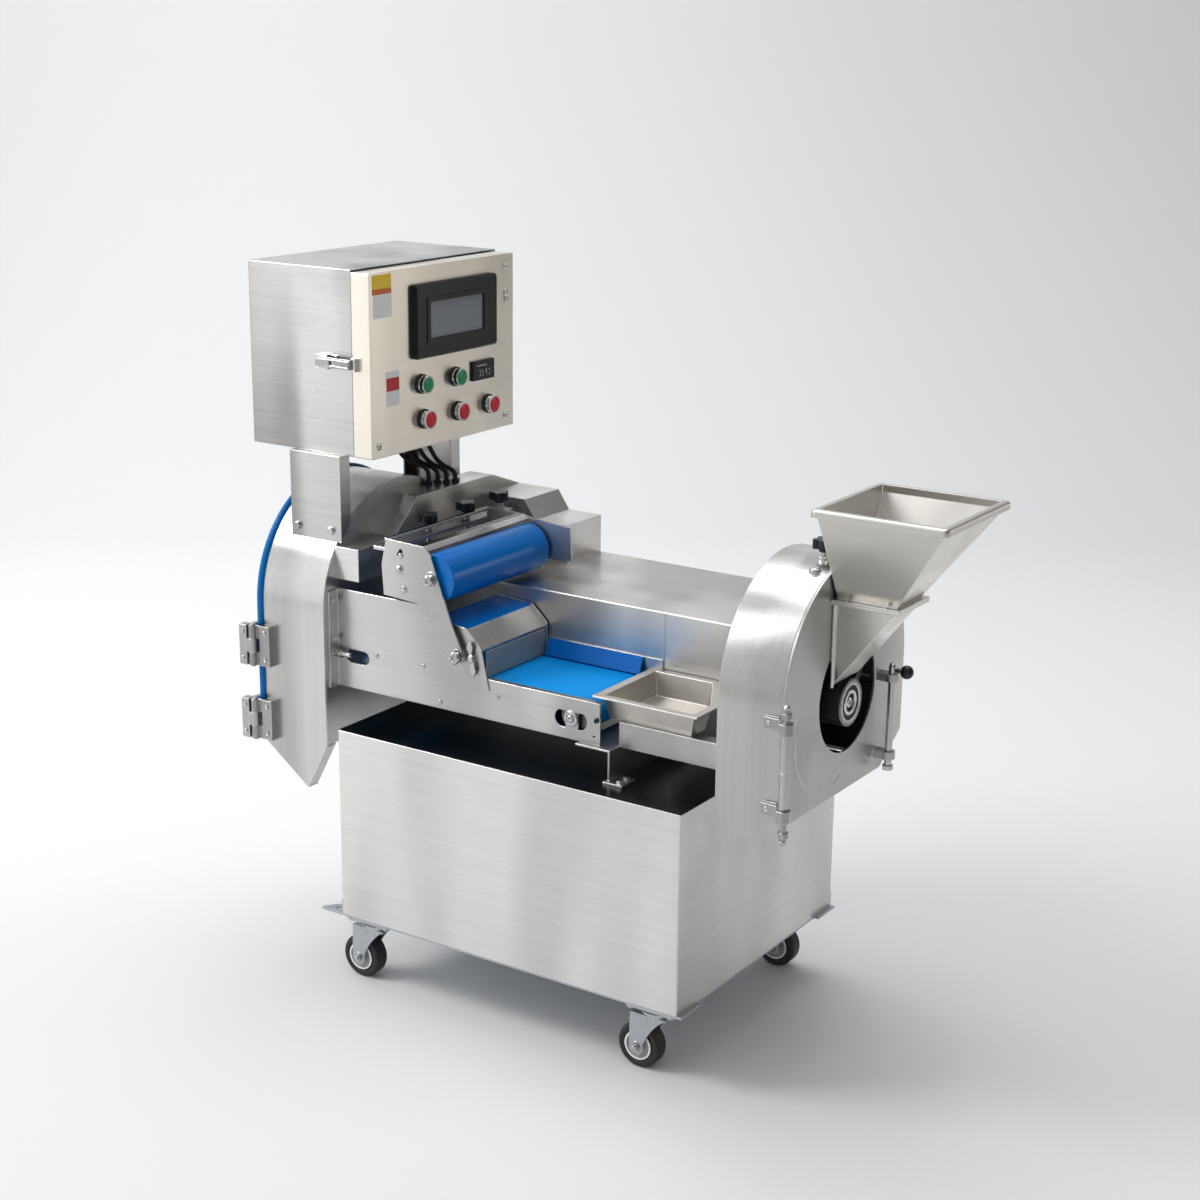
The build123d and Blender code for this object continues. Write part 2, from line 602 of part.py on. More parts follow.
# Feed hood: bent sheet over the feed mouth, closed by an end plate behind the press unit
HOOD = ((63, 701), (63, 757), (160, 761), (225, 820), (443, 820), (526, 790), (526, 687))
HOOD_INSIDE = ((524, 687), (524, 788.5), (442.5, 818), (225.8, 818), (160.8, 759), (65, 755.2), (65, 701))
with BuildPart() as feed_hood:
    with BuildSketch(side_plane(LEFT_INNER_X)):
        add(outline(*HOOD, *HOOD_INSIDE))
    extrude(amount=HOOD_EDGE_X - LEFT_INNER_X)
    with BuildSketch(side_plane(HOOD_EDGE_X - SHEET)):
        add(outline(*HOOD[:-1], (COVER_REAR, TABLE_Z), (COVER_FRONT, TABLE_Z), (COVER_FRONT, HOOD[0][1])))
    extrude(amount=SHEET)
save(feed_hood, "feed_hood")

# Leafy head: inner plate with the feed throat
with BuildPart() as left_head_plate:
    with BuildSketch(side_plane(LEFT_INNER_X - PLATE)):
        add(arch(LEFT_FRONT + PLATE, LEFT_REAR - PLATE, LEFT_INNER_BOTTOM + 2, LEFT_SPRING))
        add(slab(*THROAT), mode=Mode.SUBTRACT)
        with Locations((HEAD_MID_Y, LEFT_SPINDLE_Z)):
            Circle(SPINDLE_R + 1, mode=Mode.SUBTRACT)
    extrude(amount=PLATE)
save(left_head_plate, "left_head_plate")

# Leafy head: arched shell that ends in a point below, open at the bottom
FLANGE_DEPTH = 25.0
point_x, point_z = LEFT_POINT
with BuildPart() as left_head_shell:
    with BuildSketch(side_plane(LEFT_OUTER_X)):
        add(arch(LEFT_FRONT, LEFT_REAR, point_z, LEFT_SPRING))
        add(arch(LEFT_FRONT + PLATE, LEFT_REAR - PLATE, point_z, LEFT_SPRING), mode=Mode.SUBTRACT)
    extrude(amount=LEFT_INNER_X - LEFT_OUTER_X)
    with BuildSketch(front_plane(LEFT_REAR)):
        add(outline((LEFT_OUTER_X, point_z), (LEFT_OUTER_X, LEFT_OUTER_BOTTOM), LEFT_POINT))
        add(outline((LEFT_INNER_X, point_z), (LEFT_INNER_X, LEFT_INNER_BOTTOM), LEFT_POINT))
    extrude(amount=LEFT_REAR - LEFT_FRONT, mode=Mode.SUBTRACT)
    for flange_y in (LEFT_FRONT + FLANGE_DEPTH, LEFT_REAR):
        with BuildSketch(front_plane(flange_y)):
            add(outline((LEFT_INNER_X, LEFT_INNER_BOTTOM), LEFT_POINT, (point_x - 2.6, point_z + 1.4),
                        (LEFT_INNER_X - 2.6, LEFT_INNER_BOTTOM + 1.4)))
        extrude(amount=FLANGE_DEPTH)
save(left_head_shell, "left_head_shell")

# Leafy head: round seal along the open edge, from hinge to rear foot
SEAL_FOOT = 405.0
with BuildPart() as left_seal:
    seal_front, seal_rear = LEFT_FRONT + 1.5, LEFT_REAR - 1.5
    with BuildLine(side_plane(SEAL_X)) as seal_path:
        Line((seal_front, SEAL_FOOT), (seal_front, LEFT_SPRING))
        ThreePointArc((seal_front, LEFT_SPRING), (HEAD_MID_Y, LEFT_SPRING + (seal_rear - seal_front) / 2),
                      (seal_rear, LEFT_SPRING))
        Line((seal_rear, LEFT_SPRING), (seal_rear, SEAL_FOOT))
    with BuildSketch(Plane(origin=(SEAL_X, seal_front, SEAL_FOOT), z_dir=(0, 0, 1))):
        Circle(SEAL_R)
    sweep()
save(left_seal, "left_seal")

# Leafy head: fixed halves of the two block hinges with their pins
KNUCKLE_R = 7.0
with BuildPart() as left_hinges:
    for middle in LEFT_HINGE_Z:
        low = middle - LEFT_HINGE_HEIGHT / 2
        knuckle = LEFT_HINGE_HEIGHT / 3
        with BuildSketch(level(low)):
            with Locations(LEFT_HINGE):
                Circle(HINGE_PIN_R)
        extrude(amount=LEFT_HINGE_HEIGHT)
        with BuildSketch(level(low)):
            add(slab(-526.5, -505, 16, LEFT_FRONT))
        extrude(amount=LEFT_HINGE_HEIGHT)
        for knuckle_z in (low, low + 2 * knuckle + BODY_GAP):
            with BuildSketch(level(knuckle_z)):
                with Locations(LEFT_HINGE):
                    Circle(KNUCKLE_R)
                add(slab(LEFT_HINGE[0], -526.5, 16, 20))
            extrude(amount=knuckle - BODY_GAP)
save(left_hinges, "left_hinges")

# Leafy head: outer door with the moving hinge halves
DOOR_INNER_X = SEAL_X - SEAL_R - BODY_GAP
with BuildPart() as left_door:
    with BuildSketch(side_plane(DOOR_INNER_X - PLATE)):
        add(arch(LEFT_FRONT + DOOR_INSET, LEFT_REAR - DOOR_INSET, 392, LEFT_SPRING))
    extrude(amount=PLATE)
    # Stiffening rim round the outside of the door
    with BuildSketch(side_plane(DOOR_INNER_X - PLATE - 9)):
        add(arch(LEFT_FRONT + DOOR_INSET + 26, LEFT_REAR - DOOR_INSET - 26, 418, LEFT_SPRING))
        add(arch(LEFT_FRONT + DOOR_INSET + 28, LEFT_REAR - DOOR_INSET - 28, 420, LEFT_SPRING), mode=Mode.SUBTRACT)
    extrude(amount=9)
    for middle in LEFT_HINGE_Z:
        low = middle - LEFT_HINGE_HEIGHT / 2
        knuckle = LEFT_HINGE_HEIGHT / 3
        with BuildSketch(level(low)):
            add(slab(-565, -549, 7, 23))
            add(slab(-553, DOOR_INNER_X - PLATE, 20, 62))
        extrude(amount=LEFT_HINGE_HEIGHT)
        with BuildSketch(level(low + knuckle)):
            with Locations(LEFT_HINGE):
                Circle(KNUCKLE_R)
            add(slab(-552, LEFT_HINGE[0], 8, 20))
            with Locations(LEFT_HINGE):
                Circle(HINGE_PIN_R + RUNNING_GAP, mode=Mode.SUBTRACT)
        extrude(amount=knuckle)
save(left_door, "left_door")

# Crescent blades: two sickle-shaped knives with a ground edge, clamped on the spindle
BLADE_X = -402.0
BLADE_THICKNESS = 3.0
with BuildPart() as crescent_blades:
    with BuildSketch(Plane(origin=(BLADE_X, HEAD_MID_Y, LEFT_SPINDLE_Z), x_dir=(0, 1, 0), z_dir=(1, 0, 0))):
        Circle(BLADE_HUB_R)
        with PolarLocations(0, 2):
            with BuildLine():
                ThreePointArc(around(BLADE_HUB_R - 4, 0), around(122, 44), around(BLADE_TIP_R, 100))
                Line(around(BLADE_TIP_R, 100), around(BLADE_TIP_R - 10, 106))
                ThreePointArc(around(BLADE_TIP_R - 10, 106), around(88, 74), around(BLADE_HUB_R - 4, 78))
                Line(around(BLADE_HUB_R - 4, 78), around(BLADE_HUB_R - 4, 0))
            make_face()
        Circle(SPINDLE_R, mode=Mode.SUBTRACT)
        with PolarLocations(30, 4):
            Circle(3.3, mode=Mode.SUBTRACT)
    extrude(amount=BLADE_THICKNESS)
save(crescent_blades, "crescent_blades")

# Blade spindle: pulley, shaft, collar and clamp washer turned in one
left_spindle = turning_plane(HEAD_MID_Y, LEFT_SPINDLE_Z)
pulley_end = LEFT_PULLEY_X + PULLEY_WIDTH


def pulley_rim(start: float) -> tuple:
    """Half section of a V pulley, from its left face to its right face."""
    return ((start, PULLEY_R), (start + 4, PULLEY_R), (start + 8, GROOVE_R), (start + PULLEY_WIDTH - 8, GROOVE_R),
            (start + PULLEY_WIDTH - 4, PULLEY_R), (start + PULLEY_WIDTH, PULLEY_R))


with BuildPart() as blade_spindle:
    with BuildSketch(left_spindle):
        add(outline((-424, 0), (-424, 11), (-410, 11), (-410, 30), (BLADE_X, 30), (BLADE_X, SPINDLE_R),
                    (BLADE_X + BLADE_THICKNESS, SPINDLE_R), (BLADE_X + BLADE_THICKNESS, 24),
                    (-395.6, 24), (-395.6, SPINDLE_R), (LEFT_PULLEY_X, SPINDLE_R), *pulley_rim(LEFT_PULLEY_X),
                    (pulley_end, 0)))
    revolve(axis=Axis((0, HEAD_MID_Y, LEFT_SPINDLE_Z), (1, 0, 0)))
save(blade_spindle, "blade_spindle")


def bearing_housing(x: float, z: float, toward: int) -> BuildPart:
    """Round flange bearing bolted to a head plate."""
    with BuildPart() as housing:
        with BuildSketch(side_plane(x)):
            with Locations((HEAD_MID_Y, z)):
                Circle(36)
                Circle(SPINDLE_R + RUNNING_GAP, mode=Mode.SUBTRACT)
        extrude(amount=toward * 7)
        with BuildSketch(side_plane(x)):
            with Locations((HEAD_MID_Y, z)):
                Circle(26)
                Circle(SPINDLE_R + RUNNING_GAP, mode=Mode.SUBTRACT)
        extrude(amount=toward * 18)
    return housing


left_bearing = bearing_housing(LEFT_INNER_X, LEFT_SPINDLE_Z, 1)
right_bearing = bearing_housing(RIGHT_INNER_X, RIGHT_SPINDLE_Z, -1)
save_group([left_bearing, right_bearing], "spindle_bearings")


def motor(face_x: float, toward: int) -> BuildPart:
    """Foot-mounted motor with a bore for its shaft; toward is the way that its back points."""
    with BuildPart() as body:
        with BuildSketch(side_plane(face_x)):
            with Locations(MOTOR):
                Circle(MOTOR_R)
        extrude(amount=toward * 175)
        with BuildSketch(side_plane(face_x + toward * 30)):
            add(slab(MOTOR[0] - 52, MOTOR[0] + 52, DECK_Z, DECK_Z + 8))
            add(slab(MOTOR[0] - 40, MOTOR[0] + 40, DECK_Z, MOTOR[1] - 30))
        extrude(amount=toward * 110)
        with BuildSketch(side_plane(face_x)):
            with Locations(MOTOR):
                Circle(MOTOR_SHAFT_R + RUNNING_GAP)
        extrude(amount=toward * 40, mode=Mode.SUBTRACT)
    return body


# Gearmotor of the conveyor, hanging on the drive drum's shaft
with BuildPart() as gearmotor:
    with BuildSketch(front_plane(GEARBOX_FRONT + 72)):
        add(slab(-342, -262, 498, 592))
    extrude(amount=72)
    with BuildSketch(side_plane(-262)):
        with Locations((294, 530)):
            Circle(34)
    extrude(amount=120)
    with BuildSketch(front_plane(GEARBOX_FRONT + 60)):
        add(slab(-330, -275, DECK_Z, 498))
    extrude(amount=48)
    with BuildSketch(front_plane(GEARBOX_FRONT + 26)):
        with Locations((DRIVE_DRUM_X, DRUM_Z)):
            Circle(DRUM_SHAFT_R + RUNNING_GAP)
    extrude(amount=26, mode=Mode.SUBTRACT)
left_motor = motor(-340.0, 1)
right_motor = motor(RIGHT_PULLEY_X - 4, -1)
save_group([left_motor, right_motor, gearmotor], "drive_motors")


def motor_pulley(start: float, shaft_end: float, label: str):
    """V pulley on the motor's shaft stub."""
    far_face = start + PULLEY_WIDTH
    with BuildPart() as piece:
        with BuildSketch(turning_plane(*MOTOR)):
            if shaft_end > start:
                add(outline((start, 0), *pulley_rim(start), (far_face, MOTOR_SHAFT_R),
                            (shaft_end, MOTOR_SHAFT_R), (shaft_end, 0)))
            else:
                add(outline((shaft_end, 0), (shaft_end, MOTOR_SHAFT_R), (start, MOTOR_SHAFT_R),
                            *pulley_rim(start), (far_face, 0)))
        revolve(axis=Axis((0, *MOTOR), (1, 0, 0)))
    save(piece, label)


motor_pulley(LEFT_PULLEY_X, -305.0, "blade_motor_pulley")
motor_pulley(RIGHT_PULLEY_X, RIGHT_PULLEY_X - 38, "slicer_motor_pulley")


def drive_belt(start: float, spindle_z: float) -> BuildPart:
    """V belt from a spindle pulley to its motor pulley."""
    spindle = (HEAD_MID_Y, spindle_z)
    inner_r = GROOVE_R + BODY_GAP
    with BuildPart() as band:
        with BuildSketch(side_plane(start + 8.5)):
            add(open_loop(spindle, inner_r + 6, MOTOR, inner_r + 6))
            add(open_loop(spindle, inner_r, MOTOR, inner_r), mode=Mode.SUBTRACT)
        extrude(amount=PULLEY_WIDTH - 17)
    return band


blade_belt = drive_belt(LEFT_PULLEY_X, LEFT_SPINDLE_Z)
slicer_belt = drive_belt(RIGHT_PULLEY_X, RIGHT_SPINDLE_Z)
save_group([blade_belt, slicer_belt], "drive_belts")

# Press unit: side plates, top plate, roller axle and the bar that carries the clamp knobs
roller_x, roller_z = ROLLER
with BuildPart() as press_frame:
    with BuildSketch(front_plane(PRESS_FRONT + PLATE)):
        with BuildLine():
            Polyline((-110, 616), (-136, 668), (-176, 774), (-192, 788), (-269, 791), (-279, 746),
                     (-275, 694), (-204, 690), (-134, 606))
            ThreePointArc((-134, 606), (PRESS_PIVOT[0] + 1, PRESS_PIVOT[1] - 13), (-110, 616))
        make_face()
        with Locations(PRESS_PIVOT):
            Circle(5 + RUNNING_GAP, mode=Mode.SUBTRACT)
        with Locations((-240, 770), (-242, 743)):
            SlotOverall(16, 9, rotation=60, mode=Mode.SUBTRACT)
    extrude(amount=PLATE)
    # Rear plate, stepped down to a tail that reaches over the table
    with BuildSketch(front_plane(PRESS_REAR + PLATE)):
        add(outline((-269, 791), (-192, 788), (-174, 784), (-94, 778), PRESS_TAIL, (-154, PRESS_TAIL[1]),
                    (-154, 696), (-275, 696), (-279, 746)))
    extrude(amount=PLATE)
    # Two rails join the plates, with the recess for the clamp studs open between them
    with BuildSketch(front_plane(PRESS_REAR)):
        add(outline((-274, 791), (-266, 790.7), (-266, 786), (-274, 786)))
        add(outline((-206, 788.5), (-192, 788), (-184, 781), (-186, 779), (-193, 785), (-206, 785.5)))
        with Locations(ROLLER):
            Circle(ROLLER_AXLE_R)
        add(outline((-276, 712), (-270, 712), (-270, 706), (-228, 706), (-228, 703), (-276, 703)))
    extrude(amount=PRESS_REAR - PRESS_FRONT - PLATE)
    # Axle bolt and washer outside the front plate
    with BuildSketch(front_plane(PRESS_FRONT)):
        with Locations(ROLLER):
            Circle(13)
    extrude(amount=SHEET)
    with BuildSketch(front_plane(PRESS_FRONT - SHEET)):
        with Locations(ROLLER):
            RegularPolygon(8.5, 6)
    extrude(amount=6)
    with BuildSketch(level(CLAMP_BAR_Z)):
        add(slab(*CLAMP_BAR_X, PRESS_FRONT + PLATE, 408))
        with Locations(*[(CLAMP_KNOB_X, y) for y in CLAMP_KNOB_Y]):
            Circle(STUD_R + RUNNING_GAP, mode=Mode.SUBTRACT)
    extrude(amount=6)
save(press_frame, "press_frame")

# Press roller: soft covered roller with end bosses
with BuildPart() as press_roller:
    with BuildSketch(front_plane(PRESS_REAR - 5)):
        with Locations(ROLLER):
            Circle(ROLLER_R)
    extrude(amount=PRESS_REAR - PRESS_FRONT - PLATE - 10)
    fillet(press_roller.edges().filter_by(GeomType.CIRCLE), 2)
    with BuildSketch(front_plane(PRESS_REAR - 1)):
        with Locations(ROLLER):
            Circle(14)
    extrude(amount=PRESS_REAR - PRESS_FRONT - PLATE - 2)
    with BuildSketch(front_plane(PRESS_REAR)):
        with Locations(ROLLER):
            Circle(ROLLER_AXLE_R + RUNNING_GAP)
    extrude(amount=PRESS_REAR - PRESS_FRONT, mode=Mode.SUBTRACT)
save(press_roller, "press_roller")


def star_knob(x: float, y: float, base_z: float, stud_bottom: float, radius: float, height: float, label: str):
    """Star knob with five lobes, a collar and a stud below."""
    with BuildPart() as piece:
        with BuildSketch(level(base_z)):
            with Locations((x, y)):
                Circle(radius * 0.72)
                with PolarLocations(radius * 0.72, 5):
                    Circle(radius * 0.3)
        extrude(amount=height)
        chamfer(piece.faces().sort_by(Axis.Z)[-1].edges(), 1.2)
        with BuildSketch(level(base_z)):
            with Locations((x, y)):
                Circle(radius * 0.45)
        extrude(amount=-5)
        with BuildSketch(level(base_z)):
            with Locations((x, y)):
                Circle(STUD_R)
        extrude(amount=stud_bottom - base_z)
    save(piece, label)


for number, knob_y in enumerate(CLAMP_KNOB_Y, start=1):
    star_knob(CLAMP_KNOB_X, knob_y, 792, 750, 18, 14, f"clamp_knob_{number}")

# Root head: inner plate behind the slicing ring
with BuildPart() as right_head_plate:
    with BuildSketch(side_plane(RIGHT_INNER_X)):
        add(arch(RIGHT_FRONT + PLATE, RIGHT_REAR - PLATE, 474, RIGHT_SPRING))
        with Locations((HEAD_MID_Y, RIGHT_SPINDLE_Z)):
            Circle(SPINDLE_R + 1, mode=Mode.SUBTRACT)
    extrude(amount=PLATE)
save(right_head_plate, "right_head_plate")

# Root head: arched shell, cut to a shallow point in front and stepped up at the rear corner
with BuildPart() as right_head_shell:
    # Domed nut on top of the arch
    with BuildSketch(level(815)):
        with Locations((466, 165)):
            Circle(9)
    extrude(amount=16)
    fillet(right_head_shell.faces().sort_by(Axis.Z)[-1].edges(), 4)
    # Boss that holds the stud of the thickness knob
    with BuildSketch(level(815)):
        with Locations(THICKNESS_STUD):
            Circle(9)
    extrude(amount=25)
    with BuildSketch(side_plane(RIGHT_INNER_X)):
        add(arch(RIGHT_FRONT, RIGHT_REAR, 427, RIGHT_SPRING))
        add(arch(RIGHT_FRONT + PLATE, RIGHT_REAR - PLATE, 427, RIGHT_SPRING), mode=Mode.SUBTRACT)
    extrude(amount=RIGHT_OUTER_X - RIGHT_INNER_X)
    with BuildSketch(front_plane(RIGHT_REAR)):
        add(outline((RIGHT_INNER_X, 427), (RIGHT_INNER_X, 472), (410, 427)))
        add(outline((RIGHT_OUTER_X, 427), (RIGHT_OUTER_X, 461), (410, 427)))
    extrude(amount=RIGHT_REAR - RIGHT_FRONT, mode=Mode.SUBTRACT)
    with BuildSketch(front_plane(RIGHT_REAR)):
        add(slab(RIGHT_INNER_X, RIGHT_OUTER_X, 427, 500))
    extrude(amount=PLATE, mode=Mode.SUBTRACT)
    with BuildSketch(side_plane(RIGHT_INNER_X)):
        add(arch(RIGHT_FRONT + PLATE, RIGHT_REAR - PLATE, 500, RIGHT_SPRING))
    extrude(amount=RIGHT_OUTER_X - RIGHT_INNER_X, mode=Mode.SUBTRACT)
    with BuildSketch(level(835)):
        with Locations(THICKNESS_STUD):
            Circle(STUD_R + RUNNING_GAP)
    extrude(amount=5, mode=Mode.SUBTRACT)
save(right_head_shell, "right_head_shell")

# Slicing ring: fixed drum with six knife gates, open towards the door
ring_inner = RING_R - RING_WALL
GATES = 6
with BuildPart() as slicer_ring:
    ring_plane = Plane(origin=(RIGHT_INNER_X + PLATE, HEAD_MID_Y, RIGHT_SPINDLE_Z), x_dir=(0, 1, 0), z_dir=(1, 0, 0))
    with BuildSketch(ring_plane):
        Circle(RING_R + 6)
        Circle(SPINDLE_R + 30, mode=Mode.SUBTRACT)
    extrude(amount=4)
    with BuildSketch(ring_plane.offset(4)):
        Circle(RING_R)
        Circle(ring_inner, mode=Mode.SUBTRACT)
    extrude(amount=94)
    with BuildSketch(ring_plane.offset(14)):
        with PolarLocations(RING_R - RING_WALL / 2, GATES):
            Rectangle(3 * RING_WALL, 16)
    extrude(amount=74, mode=Mode.SUBTRACT)
    # A slanting knife stands in each gate
    with BuildSketch(ring_plane.offset(10)):
        with PolarLocations(RING_R - RING_WALL / 2 + 1, GATES):
            with Locations((0, -6)):
                Rectangle(1.6, 16, rotation=12)
    extrude(amount=82)
save(slicer_ring, "slicer_ring")

# Impeller: back disc, three swept paddles and the stepped hub that shows in the door opening
PADDLES = 3
disc_x = RIGHT_INNER_X + PLATE + 5
with BuildPart() as impeller:
    impeller_plane = Plane(origin=(disc_x, HEAD_MID_Y, RIGHT_SPINDLE_Z), x_dir=(0, 1, 0), z_dir=(1, 0, 0))
    with BuildSketch(impeller_plane):
        Circle(IMPELLER_R)
    extrude(amount=5)
    with BuildSketch(impeller_plane.offset(5)):
        with PolarLocations(0, PADDLES):
            with BuildLine():
                ThreePointArc(around(HUB_R - 4, 0), around(82, 14), around(IMPELLER_R, 42))
                Line(around(IMPELLER_R, 42), around(IMPELLER_R, 47))
                ThreePointArc(around(IMPELLER_R, 47), around(80, 24), around(HUB_R - 4, 14))
                Line(around(HUB_R - 4, 14), around(HUB_R - 4, 0))
            make_face()
    extrude(amount=84)
    with BuildSketch(turning_plane(HEAD_MID_Y, RIGHT_SPINDLE_Z)):
        add(outline((disc_x, 0), (disc_x, HUB_R), (500, HUB_R), (501, HUB_R - 1), (501, 28), (496, 27),
                    (496, 21), (500, 20), (500, 15), (494, 14), (494, 0)))
        add(outline((RIGHT_PULLEY_X, 0), *pulley_rim(RIGHT_PULLEY_X),
                    (RIGHT_PULLEY_X + PULLEY_WIDTH, SPINDLE_R), (disc_x + 1, SPINDLE_R), (disc_x + 1, 0)))
    revolve(axis=Axis((0, HEAD_MID_Y, RIGHT_SPINDLE_Z), (1, 0, 0)))
save(impeller, "impeller")

# Root head door: flat plate with the round opening and the feed mouth, and its hinge sleeves
MOUTH = (181.0, 261.0, 648.0, 730.0)
with BuildPart() as right_door:
    with BuildSketch(side_plane(DOOR_PLATE_X)):
        add(arch(RIGHT_FRONT, RIGHT_REAR, RIGHT_BOTTOM, RIGHT_SPRING))
        add(outline((367, RIGHT_BOTTOM), (RIGHT_REAR, RIGHT_BOTTOM), (RIGHT_REAR, 504)), mode=Mode.SUBTRACT)
        with Locations(DOOR_OPENING[:2]):
            Circle(DOOR_OPENING[2], mode=Mode.SUBTRACT)
        add(slab(*MOUTH), mode=Mode.SUBTRACT)
    extrude(amount=DOOR_PLATE)
    # Shallow seam of the round inspection plate
    with BuildSketch(side_plane(DOOR_PLATE_X + DOOR_PLATE)):
        with Locations((176, 578)):
            Circle(103)
            Circle(101.6, mode=Mode.SUBTRACT)
        with Locations(DOOR_OPENING[:2]):
            Circle(DOOR_OPENING[2] + 4, mode=Mode.SUBTRACT)
        add(slab(232, 300, 400, 700), mode=Mode.SUBTRACT)
        add(slab(60, 300, 620, 700), mode=Mode.SUBTRACT)
    extrude(amount=-0.8, mode=Mode.SUBTRACT)
    hinge_x, hinge_y = RIGHT_HINGE
    for sleeve_z, sleeve_height in ((502, 56), (558.6, 57)):
        with BuildSketch(level(sleeve_z)):
            with Locations(RIGHT_HINGE):
                Circle(HINGE_ROD_R + 2.5)
                Circle(HINGE_ROD_R + RUNNING_GAP, mode=Mode.SUBTRACT)
        extrude(amount=sleeve_height)
        with BuildSketch(level(sleeve_z + 16)):
            add(outline((489, 38), (489, 32), (502, 13), (503, 21), (492.5, 36), (492.5, 38)))
            with Locations(RIGHT_HINGE):
                Circle(HINGE_ROD_R + 1, mode=Mode.SUBTRACT)
        extrude(amount=24)
    # Lugs of the locking rod
    for lug_z in (484, 614):
        with BuildSketch(level(lug_z)):
            add(slab(DOOR_PLATE_X + DOOR_PLATE, LOCK_ROD[0], 336, 354))
            with Locations(LOCK_ROD):
                Circle(11)
                Circle(LOCK_ROD_R + RUNNING_GAP, mode=Mode.SUBTRACT)
        extrude(amount=13)
save(right_door, "right_door")

# Locking rod with its ball knob
with BuildPart() as lock_rod:
    with BuildSketch(level(464)):
        with Locations(LOCK_ROD):
            Circle(LOCK_ROD_R)
    extrude(amount=176)
    chamfer(lock_rod.edges().filter_by(GeomType.CIRCLE), 1.5)
    with BuildSketch(side_plane(LOCK_ROD[0])):
        with Locations((LOCK_ROD[1], 633)):
            Circle(4)
    extrude(amount=18)
    with BuildSketch(Plane(origin=(LOCK_ROD[0] + 25, LOCK_ROD[1], 633), x_dir=(1, 0, 0), z_dir=(0, -1, 0))):
        with BuildLine():
            ThreePointArc((-11, 0), (0, 11), (11, 0))
            Line((11, 0), (-11, 0))
        make_face()
    revolve(axis=Axis((LOCK_ROD[0] + 25, LOCK_ROD[1], 633), (1, 0, 0)))
save(lock_rod, "lock_rod")

# Hinge rod of the root head door with its two straps and end nuts
STRAP_Z = (481.0, 616.5)
STRAP_HEIGHT = 18.0
with BuildPart() as right_hinge_rod:
    with BuildSketch(level(450)):
        with Locations(RIGHT_HINGE):
            Circle(HINGE_ROD_R)
    extrude(amount=206)
    for nut_z in (456, 642):
        with BuildSketch(level(nut_z)):
            with Locations(RIGHT_HINGE):
                RegularPolygon(9, 6)
        extrude(amount=8)
    for strap_z in STRAP_Z:
        with BuildSketch(level(strap_z)) as strap:
            add(outline((463, RIGHT_FRONT), (463, 25), (490, 23), (499, 6), (512, 4), (518, 14), (514, 24), (506, 26),
                        (484, RIGHT_FRONT)))
            fillet(strap.vertices().sort_by(Axis.Y)[0], 5)
        extrude(amount=STRAP_HEIGHT)
save(right_hinge_rod, "right_hinge_rod")

# Feed chute: triangular spout from the hopper flange down to the feed mouth
chute_front, chute_rear = HOPPER_NECK[2] - SHEET, HOPPER_NECK[3] + SHEET
chute_back = DOOR_PLATE_X + DOOR_PLATE
tip_x, tip_z = CHUTE_TIP
collar_z = NECK_Z - 2 * FLANGE_HEIGHT
with BuildPart() as feed_chute:
    with BuildSketch(front_plane(chute_rear)):
        add(outline((chute_back, collar_z), (HOPPER_NECK[1], collar_z), (tip_x + 2, tip_z), (chute_back, tip_z)))
    extrude(amount=chute_rear - chute_front)
    with BuildSketch(front_plane(chute_rear - SHEET)):
        add(outline((chute_back, collar_z), (HOPPER_NECK[1] - PLATE, collar_z), (tip_x - 0.5, tip_z),
                    (chute_back, tip_z)))
    extrude(amount=chute_rear - chute_front - 2 * SHEET, mode=Mode.SUBTRACT)
    # Collar plate on top of the spout
    with BuildSketch(level(collar_z)):
        add(slab(chute_back, HOPPER_FLANGE[1], *HOPPER_FLANGE[2:]))
        add(slab(HOPPER_NECK[0] + SHEET, HOPPER_NECK[1] - SHEET, HOPPER_NECK[2] + SHEET, HOPPER_NECK[3] - SHEET),
            mode=Mode.SUBTRACT)
    extrude(amount=FLANGE_HEIGHT)
    # Round bead along the upright joint with the door
    with BuildSketch(level(tip_z - 4)):
        with Locations((chute_back + 3, chute_front - 1)):
            Circle(PLATE)
    extrude(amount=collar_z - tip_z + 4)
save(feed_chute, "feed_chute")

